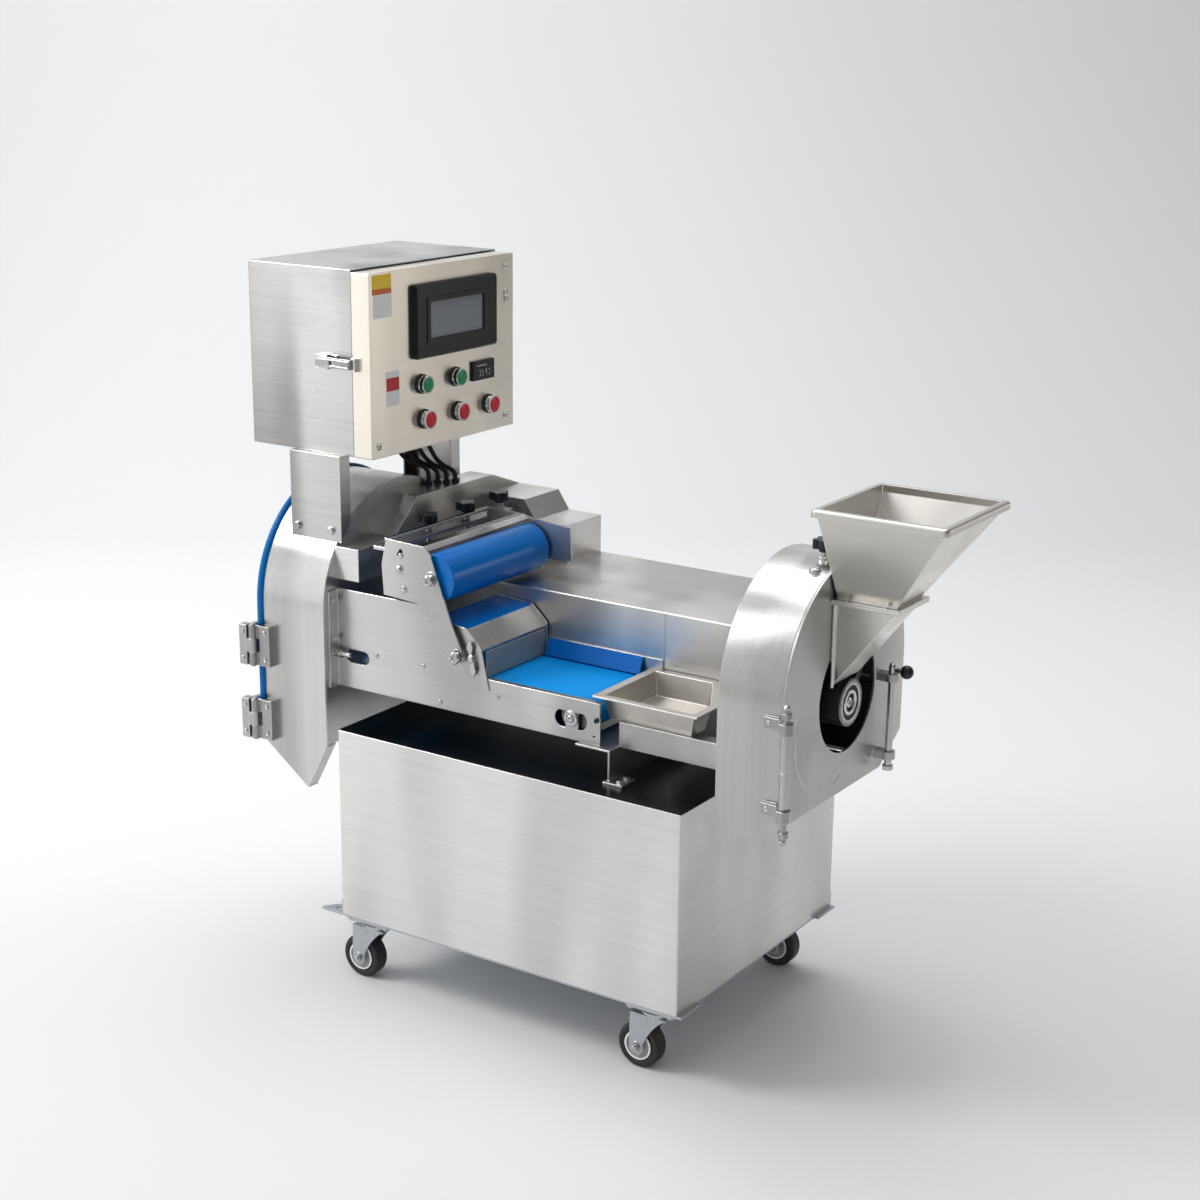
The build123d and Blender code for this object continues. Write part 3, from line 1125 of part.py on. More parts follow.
# Hopper: four tapering walls, a bolted flange below and a rolled rim above
rim_x0, rim_x1, rim_y0, rim_y1 = HOPPER_RIM
neck_x0, neck_x1, neck_y0, neck_y1 = HOPPER_NECK
rim_z = HOPPER_TOP - RIM_HEIGHT
with BuildPart() as hopper:
    with BuildSketch(level(NECK_Z - FLANGE_HEIGHT)):
        add(slab(chute_back + 1, HOPPER_FLANGE[1], *HOPPER_FLANGE[2:]))
    extrude(amount=FLANGE_HEIGHT)
    with BuildSketch(level(NECK_Z)):
        add(slab(neck_x0, neck_x1, neck_y0, neck_y1))
    with BuildSketch(level(rim_z)):
        add(slab(rim_x0 + 9, rim_x1 - 9, rim_y0 + 9, rim_y1 - 9))
    loft(ruled=True)
    with BuildSketch(level(rim_z)) as rim:
        add(slab(*HOPPER_RIM))
        fillet(rim.vertices(), 8)
    extrude(amount=RIM_HEIGHT)
    fillet(hopper.faces().sort_by(Axis.Z)[-1].edges(), 5)
    with BuildSketch(level(NECK_Z)):
        add(slab(neck_x0 + SHEET, neck_x1 - SHEET, neck_y0 + SHEET, neck_y1 - SHEET))
    with BuildSketch(level(rim_z)):
        add(slab(rim_x0 + 11.5, rim_x1 - 11.5, rim_y0 + 11.5, rim_y1 - 11.5))
    loft(ruled=True, mode=Mode.SUBTRACT)
    with BuildSketch(level(rim_z)):
        add(slab(rim_x0 + 11.5, rim_x1 - 11.5, rim_y0 + 11.5, rim_y1 - 11.5))
    extrude(amount=RIM_HEIGHT, mode=Mode.SUBTRACT)
    with BuildSketch(level(NECK_Z)):
        add(slab(neck_x0 + SHEET, neck_x1 - SHEET, neck_y0 + SHEET, neck_y1 - SHEET))
    extrude(amount=-FLANGE_HEIGHT, mode=Mode.SUBTRACT)
save(hopper, "hopper")

star_knob(*THICKNESS_STUD, 852, 835.3, 18, 15, "thickness_knob")

# Catch pan: shallow tray with a flat rim and one cut corner
pan_x0, pan_x1, pan_y0, pan_y1 = PAN_RIM


def pan_outline(inset: float) -> Sketch:
    """Pan seen from above, drawn in from the rim by an inset."""
    cut = inset * 0.5
    return outline((pan_x0 + inset, pan_y0 + inset), (pan_x1 - inset, pan_y0 + inset),
                   (pan_x1 - inset, pan_y1 - PAN_CHAMFER[1] - cut), (pan_x1 - PAN_CHAMFER[0] - cut, pan_y1 - inset),
                   (pan_x0 + inset, pan_y1 - inset))


with BuildPart() as catch_pan:
    with BuildSketch(level(PAN_RIM_Z - PAN_DEPTH)):
        add(pan_outline(PAN_LIP + 9))
    with BuildSketch(level(PAN_RIM_Z - SHEET)):
        add(pan_outline(PAN_LIP))
    loft(ruled=True)
    with BuildSketch(level(PAN_RIM_Z)):
        add(pan_outline(0))
    extrude(amount=-PLATE)
    with BuildSketch(level(PAN_RIM_Z - PAN_DEPTH + SHEET)):
        add(pan_outline(PAN_LIP + 9 + SHEET))
    with BuildSketch(level(PAN_RIM_Z)):
        add(pan_outline(PAN_LIP + SHEET))
    loft(ruled=True, mode=Mode.SUBTRACT)
save(catch_pan, "catch_pan")

# Posts: two folded channels that stand on the arch and carry the control box
post_x0, post_x1 = POST_X
FRONT_POST_Y = 70.0
REAR_POST_Y = 400.0
with BuildPart() as control_posts:
    for web_y, inward, hood_gap in ((FRONT_POST_Y, 1, 762), (REAR_POST_Y, -1, 822)):
        near, far = sorted((web_y, web_y + inward * POST_DEPTH))
        inner_near, inner_far = sorted((web_y + inward * PLATE, web_y + inward * POST_DEPTH))
        with BuildSketch(level(745)):
            add(slab(post_x0, post_x1, near, far))
            add(slab(post_x0 + PLATE, post_x1 - PLATE, inner_near, inner_far), mode=Mode.SUBTRACT)
        extrude(amount=BOX_Z[0] - 745)
        # The right flange stops above the feed hood
        with BuildSketch(level(745)):
            add(slab(LEFT_INNER_X - 0.5, post_x1, near, far))
        extrude(amount=hood_gap - 745, mode=Mode.SUBTRACT)
        with BuildSketch(level(BOX_Z[0] - PLATE)):
            add(slab(post_x0, post_x1, *sorted((web_y, web_y + inward * 48))))
        extrude(amount=PLATE)
        for bolt_x in (post_x0 + 14, post_x1 - 22):
            with BuildSketch(front_plane(web_y if inward > 0 else web_y + 5)):
                with Locations((bolt_x, 780)):
                    RegularPolygon(7, 6)
            extrude(amount=5)
    with BuildSketch(side_plane(LEFT_OUTER_X)):
        with Locations((HEAD_MID_Y, LEFT_SPRING)):
            Circle((LEFT_REAR - LEFT_FRONT) / 2)
    extrude(amount=LEFT_INNER_X - LEFT_OUTER_X + 20, mode=Mode.SUBTRACT)
save(control_posts, "control_posts")

# Control box: open sheet box with the mounting plate, the fixed hinge halves and the latch bracket
DOOR_HINGE_Z = (960.0, 1140.0)
LATCH_Z = (1054.0, 1080.0)
LATCH_PIVOT = (-424.0, 76.0)
with BuildPart() as control_box:
    with BuildSketch(level(BOX_Z[0])) as box_outline:
        add(slab(*BOX_X, *BOX_Y))
        fillet(box_outline.vertices().group_by(Axis.X)[0], PLATE)
    extrude(amount=BOX_Z[1] - BOX_Z[0])
    offset(amount=-SHEET, openings=control_box.faces().sort_by(Axis.X)[-1])
    with BuildSketch(side_plane(BOX_X[0] + 14)):
        add(slab(BOX_Y[0] + 30, BOX_Y[1] - 30, BOX_Z[0] + 30, BOX_Z[1] - 30))
    extrude(amount=PLATE)
    with BuildSketch(side_plane(BOX_X[0] + SHEET)):
        with Locations(((BOX_Y[0] + BOX_Y[1]) / 2, (BOX_Z[0] + BOX_Z[1]) / 2)):
            with GridLocations(280, 200, 2, 2):
                Circle(5)
    extrude(amount=12)
    # Rail with a row of switching modules
    with BuildSketch(side_plane(BOX_X[0] + 17)):
        add(slab(130, 436, 1040, 1075))
    extrude(amount=8)
    for module_y in (150, 205, 260, 330, 385):
        with BuildSketch(side_plane(BOX_X[0] + 25)):
            add(slab(module_y, module_y + 45, 1015, 1100))
        extrude(amount=60)
    for hinge_z in DOOR_HINGE_Z:
        with BuildSketch(level(hinge_z)):
            with Locations(DOOR_HINGE):
                Circle(6)
            add(slab(-400, DOOR_HINGE[0], BOX_Y[1], BOX_Y[1] + 3))
            add(slab(DOOR_HINGE[0] - 6, DOOR_HINGE[0], BOX_Y[1], DOOR_HINGE[1]))
        extrude(amount=20)
        with BuildSketch(level(hinge_z)):
            with Locations(DOOR_HINGE):
                Circle(HINGE_PIN_R)
        extrude(amount=40)
    with BuildSketch(front_plane(BOX_Y[0])):
        add(slab(-420, -392, LATCH_Z[0] + 2, LATCH_Z[1] - 2))
    extrude(amount=2.5)
    latch_x, latch_y = LATCH_PIVOT
    for ear_z in (LATCH_Z[0] + 1, LATCH_Z[1] - 4):
        with BuildSketch(level(ear_z)):
            add(slab(latch_x - 5, -405, latch_y - 4, BOX_Y[0]))
        extrude(amount=PLATE)
    with BuildSketch(level(LATCH_Z[0] + 1)):
        with Locations(LATCH_PIVOT):
            Circle(2)
    extrude(amount=LATCH_Z[1] - LATCH_Z[0] - 2)
save(control_box, "control_box")

# Draw latch: grip and loop that reach over the keeper on the door
with BuildPart() as draw_latch:
    with BuildSketch(level(LATCH_Z[0] + 4.3)):
        add(outline((-429, 72.4), (-424, 70), (-396, 70), (-392, 67), (-352, 67), (-352, 70), (-391, 71),
                    (-394, 74), (-419, 74), (-419, 80), (-429, 80)))
        with Locations(LATCH_PIVOT):
            Circle(2 + RUNNING_GAP, mode=Mode.SUBTRACT)
    extrude(amount=LATCH_Z[1] - LATCH_Z[0] - 8.6)
save(draw_latch, "draw_latch")

# Control box door: folded tray with button rings, keeper and the moving hinge halves
with BuildPart() as control_door:
    with BuildSketch(side_plane(DOOR_BACK_X)) as tray:
        add(slab(*DOOR_Y, *DOOR_Z))
        fillet(tray.vertices(), PLATE)
    extrude(amount=DOOR_FACE_X - DOOR_BACK_X)
    offset(amount=-SHEET, openings=control_door.faces().sort_by(Axis.X)[0])
    with BuildSketch(side_plane(DOOR_FACE_X)):
        with Locations(*BUTTONS.values()):
            Circle(BEZEL_R)
    extrude(amount=7)
    chamfer(control_door.faces().sort_by(Axis.X)[-1].edges(), 1.5)
    with BuildSketch(side_plane(DOOR_FACE_X - 8)):
        with Locations(*BUTTONS.values()):
            Circle(BUTTON_R + 3)
    extrude(amount=6)
    with BuildSketch(side_plane(DOOR_FACE_X - 12)):
        with Locations(*BUTTONS.values()):
            Circle(BUTTON_R + BODY_GAP)
    extrude(amount=20, mode=Mode.SUBTRACT)
    # Keeper under the latch loop
    with BuildSketch(level(LATCH_Z[0] + 2)):
        add(outline((-357, DOOR_Y[0]), (-357, 75), (-354, 71), (-346, 71), (-342, DOOR_Y[0])))
    extrude(amount=LATCH_Z[1] - LATCH_Z[0] - 4)
    for hinge_z in DOOR_HINGE_Z:
        with BuildSketch(level(hinge_z + 20 + BODY_GAP)):
            with Locations(DOOR_HINGE):
                Circle(6)
            add(slab(DOOR_BACK_X, DOOR_BACK_X + 36, DOOR_Y[1], DOOR_Y[1] + 3))
            add(slab(DOOR_HINGE[0], DOOR_HINGE[0] + 6, DOOR_Y[1], DOOR_HINGE[1]))
            with Locations(DOOR_HINGE):
                Circle(HINGE_PIN_R + RUNNING_GAP, mode=Mode.SUBTRACT)
        extrude(amount=20 - BODY_GAP)
save(control_door, "control_door")

# Touch panel and the small meter beside the buttons
with BuildPart() as touch_panel:
    with BuildSketch(side_plane(DOOR_FACE_X)) as bezel:
        add(slab(*TOUCH_PANEL))
        fillet(bezel.vertices(), 6)
    extrude(amount=11)
    chamfer(touch_panel.faces().sort_by(Axis.X)[-1].edges(), 3)
    with BuildSketch(side_plane(DOOR_FACE_X + 11)):
        add(slab(*SCREEN))
    extrude(amount=-SHEET, mode=Mode.SUBTRACT)
    with BuildSketch(side_plane(DOOR_FACE_X)):
        add(slab(*METER))
    extrude(amount=5)
save(touch_panel, "touch_panel")


def push_button(y: float, z: float, label: str):
    """Round push button with a slightly domed cap and a stop collar behind the ring."""
    with BuildPart() as piece:
        with BuildSketch(turning_plane(y, z)):
            with BuildLine():
                Polyline((-309, BUTTON_R), (-328.3, BUTTON_R), (-328.3, BUTTON_R + 4), (-332, BUTTON_R + 4),
                         (-332, 0), (-307, 0))
                ThreePointArc((-307, 0), (-307.4, BUTTON_R / 2), (-309, BUTTON_R))
            make_face()
        revolve(axis=Axis((0, y, z), (1, 0, 0)))
    save(piece, label)


for button_label, (button_y, button_z) in BUTTONS.items():
    push_button(button_y, button_z, button_label)

# Control cables: four leads from the box floor down into the feed hood
CABLE_R = 4.0
HOOD_TOP = 820.0
with BuildPart() as control_cables:
    for step in range(4):
        top_x, top_y = -452 + 14 * step, 300 + 14 * step
        foot_x = -384 + 9 * step
        route = [(top_x, top_y, BOX_Z[0]), (top_x, top_y, 886), (top_x + 22, top_y + 2, 862 - 3 * step),
                 (foot_x, top_y + 12, 848 - 3 * step), (foot_x, top_y + 12, HOOD_TOP)]
        runs = [(Vector(b) - Vector(a)) for a, b in zip(route, route[1:])]
        radii = []
        for before, after in zip(runs, runs[1:]):
            half_turn = radians(before.get_angle(after) / 2)
            radii.append(0.45 * min(before.length, after.length) * cos(half_turn) / sin(half_turn))
        with BuildLine() as cable_path:
            FilletPolyline(*route, radius=radii)
        with BuildSketch(Plane(origin=route[0], z_dir=runs[0])):
            Circle(CABLE_R)
        sweep(path=cable_path.wire())
save(control_cables, "control_cables")
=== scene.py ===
"""Look of the mobile vegetable cutting machine: finishes, small fittings, studio and camera."""

import logging
import math
import random
from collections.abc import Callable, Iterable, Sequence
from dataclasses import dataclass, field
from enum import Enum
from functools import cache

import bmesh
import bpy
from mathutils import Matrix, Vector


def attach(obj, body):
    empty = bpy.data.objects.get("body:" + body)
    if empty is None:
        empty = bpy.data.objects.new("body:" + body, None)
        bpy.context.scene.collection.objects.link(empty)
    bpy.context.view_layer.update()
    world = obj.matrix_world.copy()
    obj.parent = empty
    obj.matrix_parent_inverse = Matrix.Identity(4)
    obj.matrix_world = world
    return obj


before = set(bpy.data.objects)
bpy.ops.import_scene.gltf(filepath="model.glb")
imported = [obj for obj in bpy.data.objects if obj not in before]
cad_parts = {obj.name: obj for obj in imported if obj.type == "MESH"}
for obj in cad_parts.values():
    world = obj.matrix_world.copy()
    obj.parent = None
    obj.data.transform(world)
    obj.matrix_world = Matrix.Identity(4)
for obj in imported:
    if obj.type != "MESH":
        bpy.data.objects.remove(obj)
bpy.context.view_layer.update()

log = logging.getLogger("vegetable_cutter")

Point = tuple[float, float, float]
Flat = tuple[float, float]
Rule = Callable[[Vector, Vector], bool]
Tree = bpy.types.NodeTree
Node = bpy.types.Node
Socket = bpy.types.NodeSocket
Vert = bmesh.types.BMVert

# Directions in which fittings stand out, as seen from the machine's front.
RIGHT, LEFT = (1, 0, 0), (-1, 0, 0)
BACK, FRONT = (0, 1, 0), (0, -1, 0)
UP, DOWN = (0, 0, 1), (0, 0, -1)

# The drawing's millimetres are measured from the cabinet's middle and front wall.
FOOT_MIDDLE = Vector((56.5, 263.0, 0.0))
MM = 0.001
SEED = 20
SCREW_SIDES = 36
SCREW_HEAD = ((1.0, 0.0), (1.0, 0.45), (0.86, 0.85), (0.66, 1.0))
SCREW_RECESS = ((0.55, 1.0), (0.5, 0.45))
SMOOTH_BELOW = math.radians(32)


def row(point: Sequence[float]) -> Vector:
    """Turns a drawing point in millimetres into the shared frame in metres."""
    return (Vector(point) - FOOT_MIDDLE) * MM


def drawing(point: Vector) -> Vector:
    """Turns a shared frame point in metres back into drawing millimetres."""
    return point / MM + FOOT_MIDDLE


class Grain(Enum):
    """Way that the polishing lines of a metal run."""

    NONE = "none"
    HORIZONTAL = "horizontal"
    VERTICAL = "vertical"


class Head(Enum):
    """Drive shape in the head of a screw."""

    CROSS = "cross"
    HEX = "hex"
    SLOT = "slot"


# Half the angle between two arms, half an arm's angle and the waist between the arms.
RECESS_ARMS = {Head.CROSS: (math.pi / 4, 0.3, 0.36), Head.SLOT: (math.pi / 2, 0.22, 0.24)}

# Shared shader effects come first, because every finish uses them.


def node(tree: Tree, kind: str, feeds: dict[str | int, object] | None = None, **settings: object) -> Node:
    """Adds a shader node to a tree.

    Args:
        tree: Tree that gets the node.
        kind: Node type without its ShaderNode prefix.
        feeds: Inputs with the socket or the plain value that each one gets.
        settings: Properties of the node, set before its inputs.

    Returns:
        The node.
    """
    made = tree.nodes.new(f"ShaderNode{kind}")
    for name, value in settings.items():
        setattr(made, name, value)
    for name, value in (feeds or {}).items():
        if isinstance(value, Socket):
            tree.links.new(value, made.inputs[name])
        else:
            made.inputs[name].default_value = value
    return made


def remap(tree: Tree, value: Socket, source: Flat, target: Flat = (0.0, 1.0), smooth: bool = False) -> Socket:
    """Spreads a value from one range over another.

    Args:
        tree: Tree that gets the node.
        value: Value to spread.
        source: Ends of its range.
        target: Ends of the new range.
        smooth: Whether both ends are eased.

    Returns:
        The new value.
    """
    ends = zip(("From Min", "From Max", "To Min", "To Max"), (*source, *target))
    style = "SMOOTHSTEP" if smooth else "LINEAR"
    return node(tree, "MapRange", {"Value": value, **dict(ends)}, interpolation_type=style).outputs["Result"]


def open_group(name: str, inputs: dict[str, object], outputs: Iterable[str]) -> tuple[Tree, Node, Node]:
    """Opens an empty node group with named sockets.

    Args:
        name: Name of the group.
        inputs: Name and default of each input; a float makes a number, all else a vector.
        outputs: Name of each output; Normal is a vector and the rest are numbers.

    Returns:
        The group and its input and output nodes.
    """
    tree = bpy.data.node_groups.new(name, "ShaderNodeTree")
    for label, default in inputs.items():
        kind = "NodeSocketFloat" if isinstance(default, float) else "NodeSocketVector"
        socket = tree.interface.new_socket(label, in_out="INPUT", socket_type=kind)
        if default is not None:
            socket.default_value = default
    for label in outputs:
        kind = "NodeSocketVector" if label == "Normal" else "NodeSocketFloat"
        tree.interface.new_socket(label, in_out="OUTPUT", socket_type=kind)
    return tree, tree.nodes.new("NodeGroupInput"), tree.nodes.new("NodeGroupOutput")


def send(tree: Tree, end: Node, **results: Socket) -> Tree:
    """Links each result to the group output of its name.

    Args:
        tree: Group to finish.
        end: Its output node.
        results: Socket for each output.

    Returns:
        The group.
    """
    for label, socket in results.items():
        tree.links.new(socket, end.inputs[label])
    return tree


@cache
def brushed_grain() -> Tree:
    """Fine polishing lines with broader bands, as a value and a bump height.

    Returns:
        Group with the outputs Value and Height.
    """
    stretches = {"Side Stretch": (5.0, 5.0, 900.0), "Top Stretch": (5.0, 900.0, 5.0)}
    inputs = {"Vector": None, **stretches, "Bands": 0.5}
    tree, start, end = open_group("Brushed grain", inputs, ("Value", "Height"))
    split = node(tree, "SeparateXYZ", {0: node(tree, "NewGeometry").outputs["True Normal"]})
    upright = node(tree, "Math", {0: split.outputs["Z"]}, operation="ABSOLUTE")
    flat = remap(tree, upright.outputs[0], (0.6, 0.8))
    feeds = {"Factor": flat, "A": start.outputs["Side Stretch"], "B": start.outputs["Top Stretch"]}
    stretch = node(tree, "Mix", feeds, data_type="VECTOR")
    feeds = {0: start.outputs["Vector"], 1: stretch.outputs["Result"]}
    scaled = node(tree, "VectorMath", feeds, operation="MULTIPLY").outputs[0]
    feeds = {"Vector": scaled, "Scale": 1.0, "Detail": 3.0, "Roughness": 0.65}
    fine = node(tree, "TexNoise", feeds).outputs["Fac"]
    wide = node(tree, "VectorMath", {0: scaled, "Scale": 0.12}, operation="SCALE").outputs[0]
    band = node(tree, "TexNoise", {"Vector": wide, "Scale": 1.0, "Detail": 2.0}).outputs["Fac"]
    mixed = node(tree, "Mix", {"Factor": start.outputs["Bands"], "A": fine, "B": band}).outputs["Result"]
    return send(tree, end, Value=remap(tree, mixed, (0.3, 0.7)), Height=fine)


@cache
def edge_highlight() -> Tree:
    """Rounded edge normal with a mask for a painted highlight along the edges, broken up by noise.

    Returns:
        Group with the outputs Mask and Normal.
    """
    tree, start, end = open_group("Edge highlight", {"Radius": 0.0008, "Vector": None}, ("Mask", "Normal"))
    rounded = node(tree, "Bevel", {"Radius": start.outputs["Radius"]}, samples=4).outputs[0]
    flat = node(tree, "NewGeometry").outputs["Normal"]
    dot = node(tree, "VectorMath", {0: rounded, 1: flat}, operation="DOT_PRODUCT").outputs["Value"]
    broken = node(tree, "TexNoise", {"Vector": start.outputs["Vector"], "Scale": 60.0}).outputs["Fac"]
    feeds = {0: remap(tree, dot, (0.995, 0.9)), 1: remap(tree, broken, (0.35, 0.6), (0.45, 1.0))}
    return send(tree, end, Mask=node(tree, "Math", feeds, operation="MULTIPLY").outputs[0], Normal=rounded)


@cache
def smudges() -> Tree:
    """Soft wipe marks and sparse dark spots, as two masks.

    Returns:
        Group with the outputs Wipe and Spots.
    """
    tree, start, end = open_group("Smudges", {"Vector": None, "Scale": 9.0}, ("Wipe", "Spots"))
    place = start.outputs["Vector"]
    feeds = {"Vector": place, "Scale": start.outputs["Scale"], "Detail": 4.0, "Distortion": 0.8}
    soft = remap(tree, node(tree, "TexNoise", feeds).outputs["Fac"], (0.38, 0.72))
    cells = node(tree, "TexVoronoi", {"Vector": place, "Scale": 38.0, "Randomness": 1.0}).outputs["Distance"]
    few = node(tree, "Math", {0: remap(tree, cells, (0.09, 0.03)), 1: soft}, operation="MULTIPLY").outputs[0]
    return send(tree, end, Wipe=soft, Spots=few)


@cache
def broad_sweep() -> Tree:
    """Painted shade in wide upright bands, so that the metal between them looks lit by reflection bands, as a
    mask.

    Returns:
        Group with the output Mask.
    """
    tree, start, end = open_group("Broad sweep", {"Vector": None, "Stretch": (7.0, 7.0, 1.1)}, ("Mask",))
    feeds = {0: start.outputs["Vector"], 1: start.outputs["Stretch"]}
    scaled = node(tree, "VectorMath", feeds, operation="MULTIPLY").outputs[0]
    cloud = node(tree, "TexNoise", {"Vector": scaled, "Scale": 1.0, "Detail": 1.0}).outputs["Fac"]
    return send(tree, end, Mask=remap(tree, cloud, (0.36, 0.64), smooth=True))


@cache
def stipple() -> Tree:
    """Fine moulded texture for rubber and plastic, as a bump height.

    Returns:
        Group with the output Height.
    """
    tree, start, end = open_group("Stipple", {"Vector": None, "Scale": 900.0}, ("Height",))
    feeds = {"Vector": start.outputs["Vector"], "Scale": start.outputs["Scale"], "Detail": 2.0}
    return send(tree, end, Height=node(tree, "TexNoise", feeds).outputs["Fac"])


# Finishes: one material each, built on first use.
GRAIN_STRETCH = {
    Grain.HORIZONTAL: ((4.0, 4.0, 1000.0), (4.0, 1000.0, 4.0)),
    Grain.VERTICAL: ((1000.0, 1000.0, 4.0), (4.0, 1000.0, 4.0)),
}
GRAIN_ROUGHENING = 0.35
GRAIN_RELIEF = 0.10
ANISOTROPY = 0.55
SMUDGE_DARKENING = 0.35
RELIEF_DEPTH = 0.0004
# Part of a steel's warmth that green loses, while blue loses all of it.
GREEN_SHARE = 0.4


@dataclass(frozen=True)
class Finish:
    """Surface finish, built into a material the first time it is used."""

    name: str
    color: tuple[float, float, float]
    roughness: float = 0.5
    metallic: float = 0.0
    grain: Grain = Grain.NONE
    grain_contrast: float = 0.0
    edge_mm: float = 0.6
    # Gain of the painted highlight along the edges.
    edge_light: float = 0.0
    smudge: float = 0.0
    spots: float = 0.0
    stipple: float = 0.0
    coat: float = 0.0
    shine: float = 0.5
    # Share of painted shade in wide upright bands that stand in for reflection bands.
    sweep: float = 0.0

    def material(self) -> bpy.types.Material:
        """Returns the material of this finish."""
        found = bpy.data.materials.get(self.name)
        return found or self._build()

    def _build(self) -> bpy.types.Material:
        """Makes the material from the effects that this finish asks for.

        Returns:
            The new material.
        """
        material = bpy.data.materials.new(self.name)
        material.use_nodes = True
        tree = material.node_tree
        link = tree.links.new
        shader = tree.nodes["Principled BSDF"]
        place = node(tree, "TexCoord").outputs["Object"]
        for label, value in (
            ("Base Color", (*self.color, 1.0)),
            ("Metallic", self.metallic),
            ("Roughness", self.roughness),
            ("Coat Weight", self.coat),
            ("Specular IOR Level", self.shine),
        ):
            shader.inputs[label].default_value = value
        colour = rough = height = None
        relief = 0.0
        if self.grain is not Grain.NONE:
            side, top = GRAIN_STRETCH[self.grain]
            feeds = {"Vector": place, "Side Stretch": side, "Top Stretch": top}
            grain = node(tree, "Group", feeds, node_tree=brushed_grain())
            colour = self._shade(tree, None, grain.outputs["Value"], 1.0 + self.grain_contrast)
            rough = self._lift(tree, None, grain.outputs["Value"], GRAIN_ROUGHENING * self.grain_contrast)
            height, relief = grain.outputs["Height"], GRAIN_RELIEF
            round_up = node(tree, "Tangent", direction_type="RADIAL", axis="Z").outputs[0]
            link(round_up, shader.inputs["Tangent"])
            shader.inputs["Anisotropic"].default_value = ANISOTROPY
            turn = 0.0 if self.grain is Grain.VERTICAL else 0.25
            shader.inputs["Anisotropic Rotation"].default_value = turn
        # Painted reflection bands: the colour is darkened in wide upright bands.
        if self.sweep:
            bands = node(tree, "Group", {"Vector": place}, node_tree=broad_sweep())
            colour = self._shade(tree, colour, bands.outputs["Mask"], 1.0 - self.sweep)
        if self.smudge or self.spots:
            marks = node(tree, "Group", {"Vector": place}, node_tree=smudges())
            if self.smudge:
                rough = self._lift(tree, rough, marks.outputs["Wipe"], self.smudge)
                kept = 1.0 - SMUDGE_DARKENING * self.smudge
                colour = self._shade(tree, colour, marks.outputs["Wipe"], kept)
            if self.spots:
                colour = self._shade(tree, colour, marks.outputs["Spots"], 1.0 - self.spots)
        if self.stipple:
            height = node(tree, "Group", {"Vector": place}, node_tree=stipple()).outputs["Height"]
            relief = self.stipple
        edge_glint = node(tree, "Group", {"Radius": self.edge_mm * MM, "Vector": place}, node_tree=edge_highlight())
        normal = edge_glint.outputs["Normal"]
        # Painted highlight: the colour is brightened along the edges.
        if self.edge_light:
            colour = self._shade(tree, colour, edge_glint.outputs["Mask"], 1.0 + self.edge_light)
        if height is not None:
            feeds = {"Strength": relief, "Distance": RELIEF_DEPTH, "Height": height, "Normal": normal}
            normal = node(tree, "Bump", feeds).outputs[0]
        for label, socket in (("Normal", normal), ("Base Color", colour), ("Roughness", rough)):
            if socket is not None:
                link(socket, shader.inputs[label])
        return material

    def _shade(self, tree: Tree, before: Socket | None, mask: Socket, gain: float) -> Socket:
        """Multiplies the colour by a gain where the mask is bright.

        Args:
            tree: Material's node tree.
            before: Colour so far, or None for the finish's own colour.
            mask: Mask between 0 and 1.
            gain: Gain at full mask.

        Returns:
            The new colour socket.
        """
        if before is None:
            plain, gained = (*self.color, 1.0), (*(min(1.0, c * gain) for c in self.color), 1.0)
        else:
            plain = before
            gained = node(tree, "VectorMath", {0: before, "Scale": gain}, operation="SCALE").outputs[0]
        feeds = {"Factor": mask, "A": plain, "B": gained}
        return node(tree, "Mix", feeds, data_type="RGBA", clamp_result=True).outputs["Result"]

    def _lift(self, tree: Tree, before: Socket | None, mask: Socket, amount: float) -> Socket:
        """Adds an amount of roughness where the mask is bright."""
        feeds = {0: mask, 1: amount, 2: self.roughness if before is None else before}
        return node(tree, "Math", feeds, operation="MULTIPLY_ADD", use_clamp=True).outputs[0]


def steel(
    name: str,
    shade: float,
    roughness: float,
    grain: Grain = Grain.NONE,
    contrast: float = 0.0,
    warmth: float = 0.04,
    **more: float,
) -> Finish:
    """Stainless steel finish of a given brightness.

    Args:
        name: Name of the material.
        shade: Reflectance of the metal.
        roughness: Roughness between the polishing lines.
        grain: Way that the polishing lines run.
        contrast: Strength of the polishing lines.
        warmth: Share by which blue falls below red.
        more: Further fields of the finish.

    Returns:
        The finish.
    """
    color = (shade, shade * (1.0 - GREEN_SHARE * warmth), shade * (1.0 - warmth))
    # Every steel gets a painted highlight along its edges unless told otherwise.
    settings = {"edge_mm": 2.0, "edge_light": 1.5, **more}
    return Finish(name, color, roughness, 1.0, grain, contrast, **settings)


# The band share of a steel darkens wide upright bands of it: painted shade that stands in for reflection
# bands.
BASE_STEEL = steel("Base cabinet steel", 0.70, 0.32, Grain.HORIZONTAL, 0.14, smudge=0.10, sweep=0.16)
# Near-black steel for the deck's top faces: painted shade that stands in for the dark underside of the
# conveyor reflected in them.
DECK_PAINTED_SHADE = steel("Deck painted shade", 0.07, 0.22, Grain.HORIZONTAL, 0.10)
BOX_STEEL = steel("Control box steel", 0.48, 0.24, Grain.HORIZONTAL, 0.26, smudge=0.05, sweep=0.45)
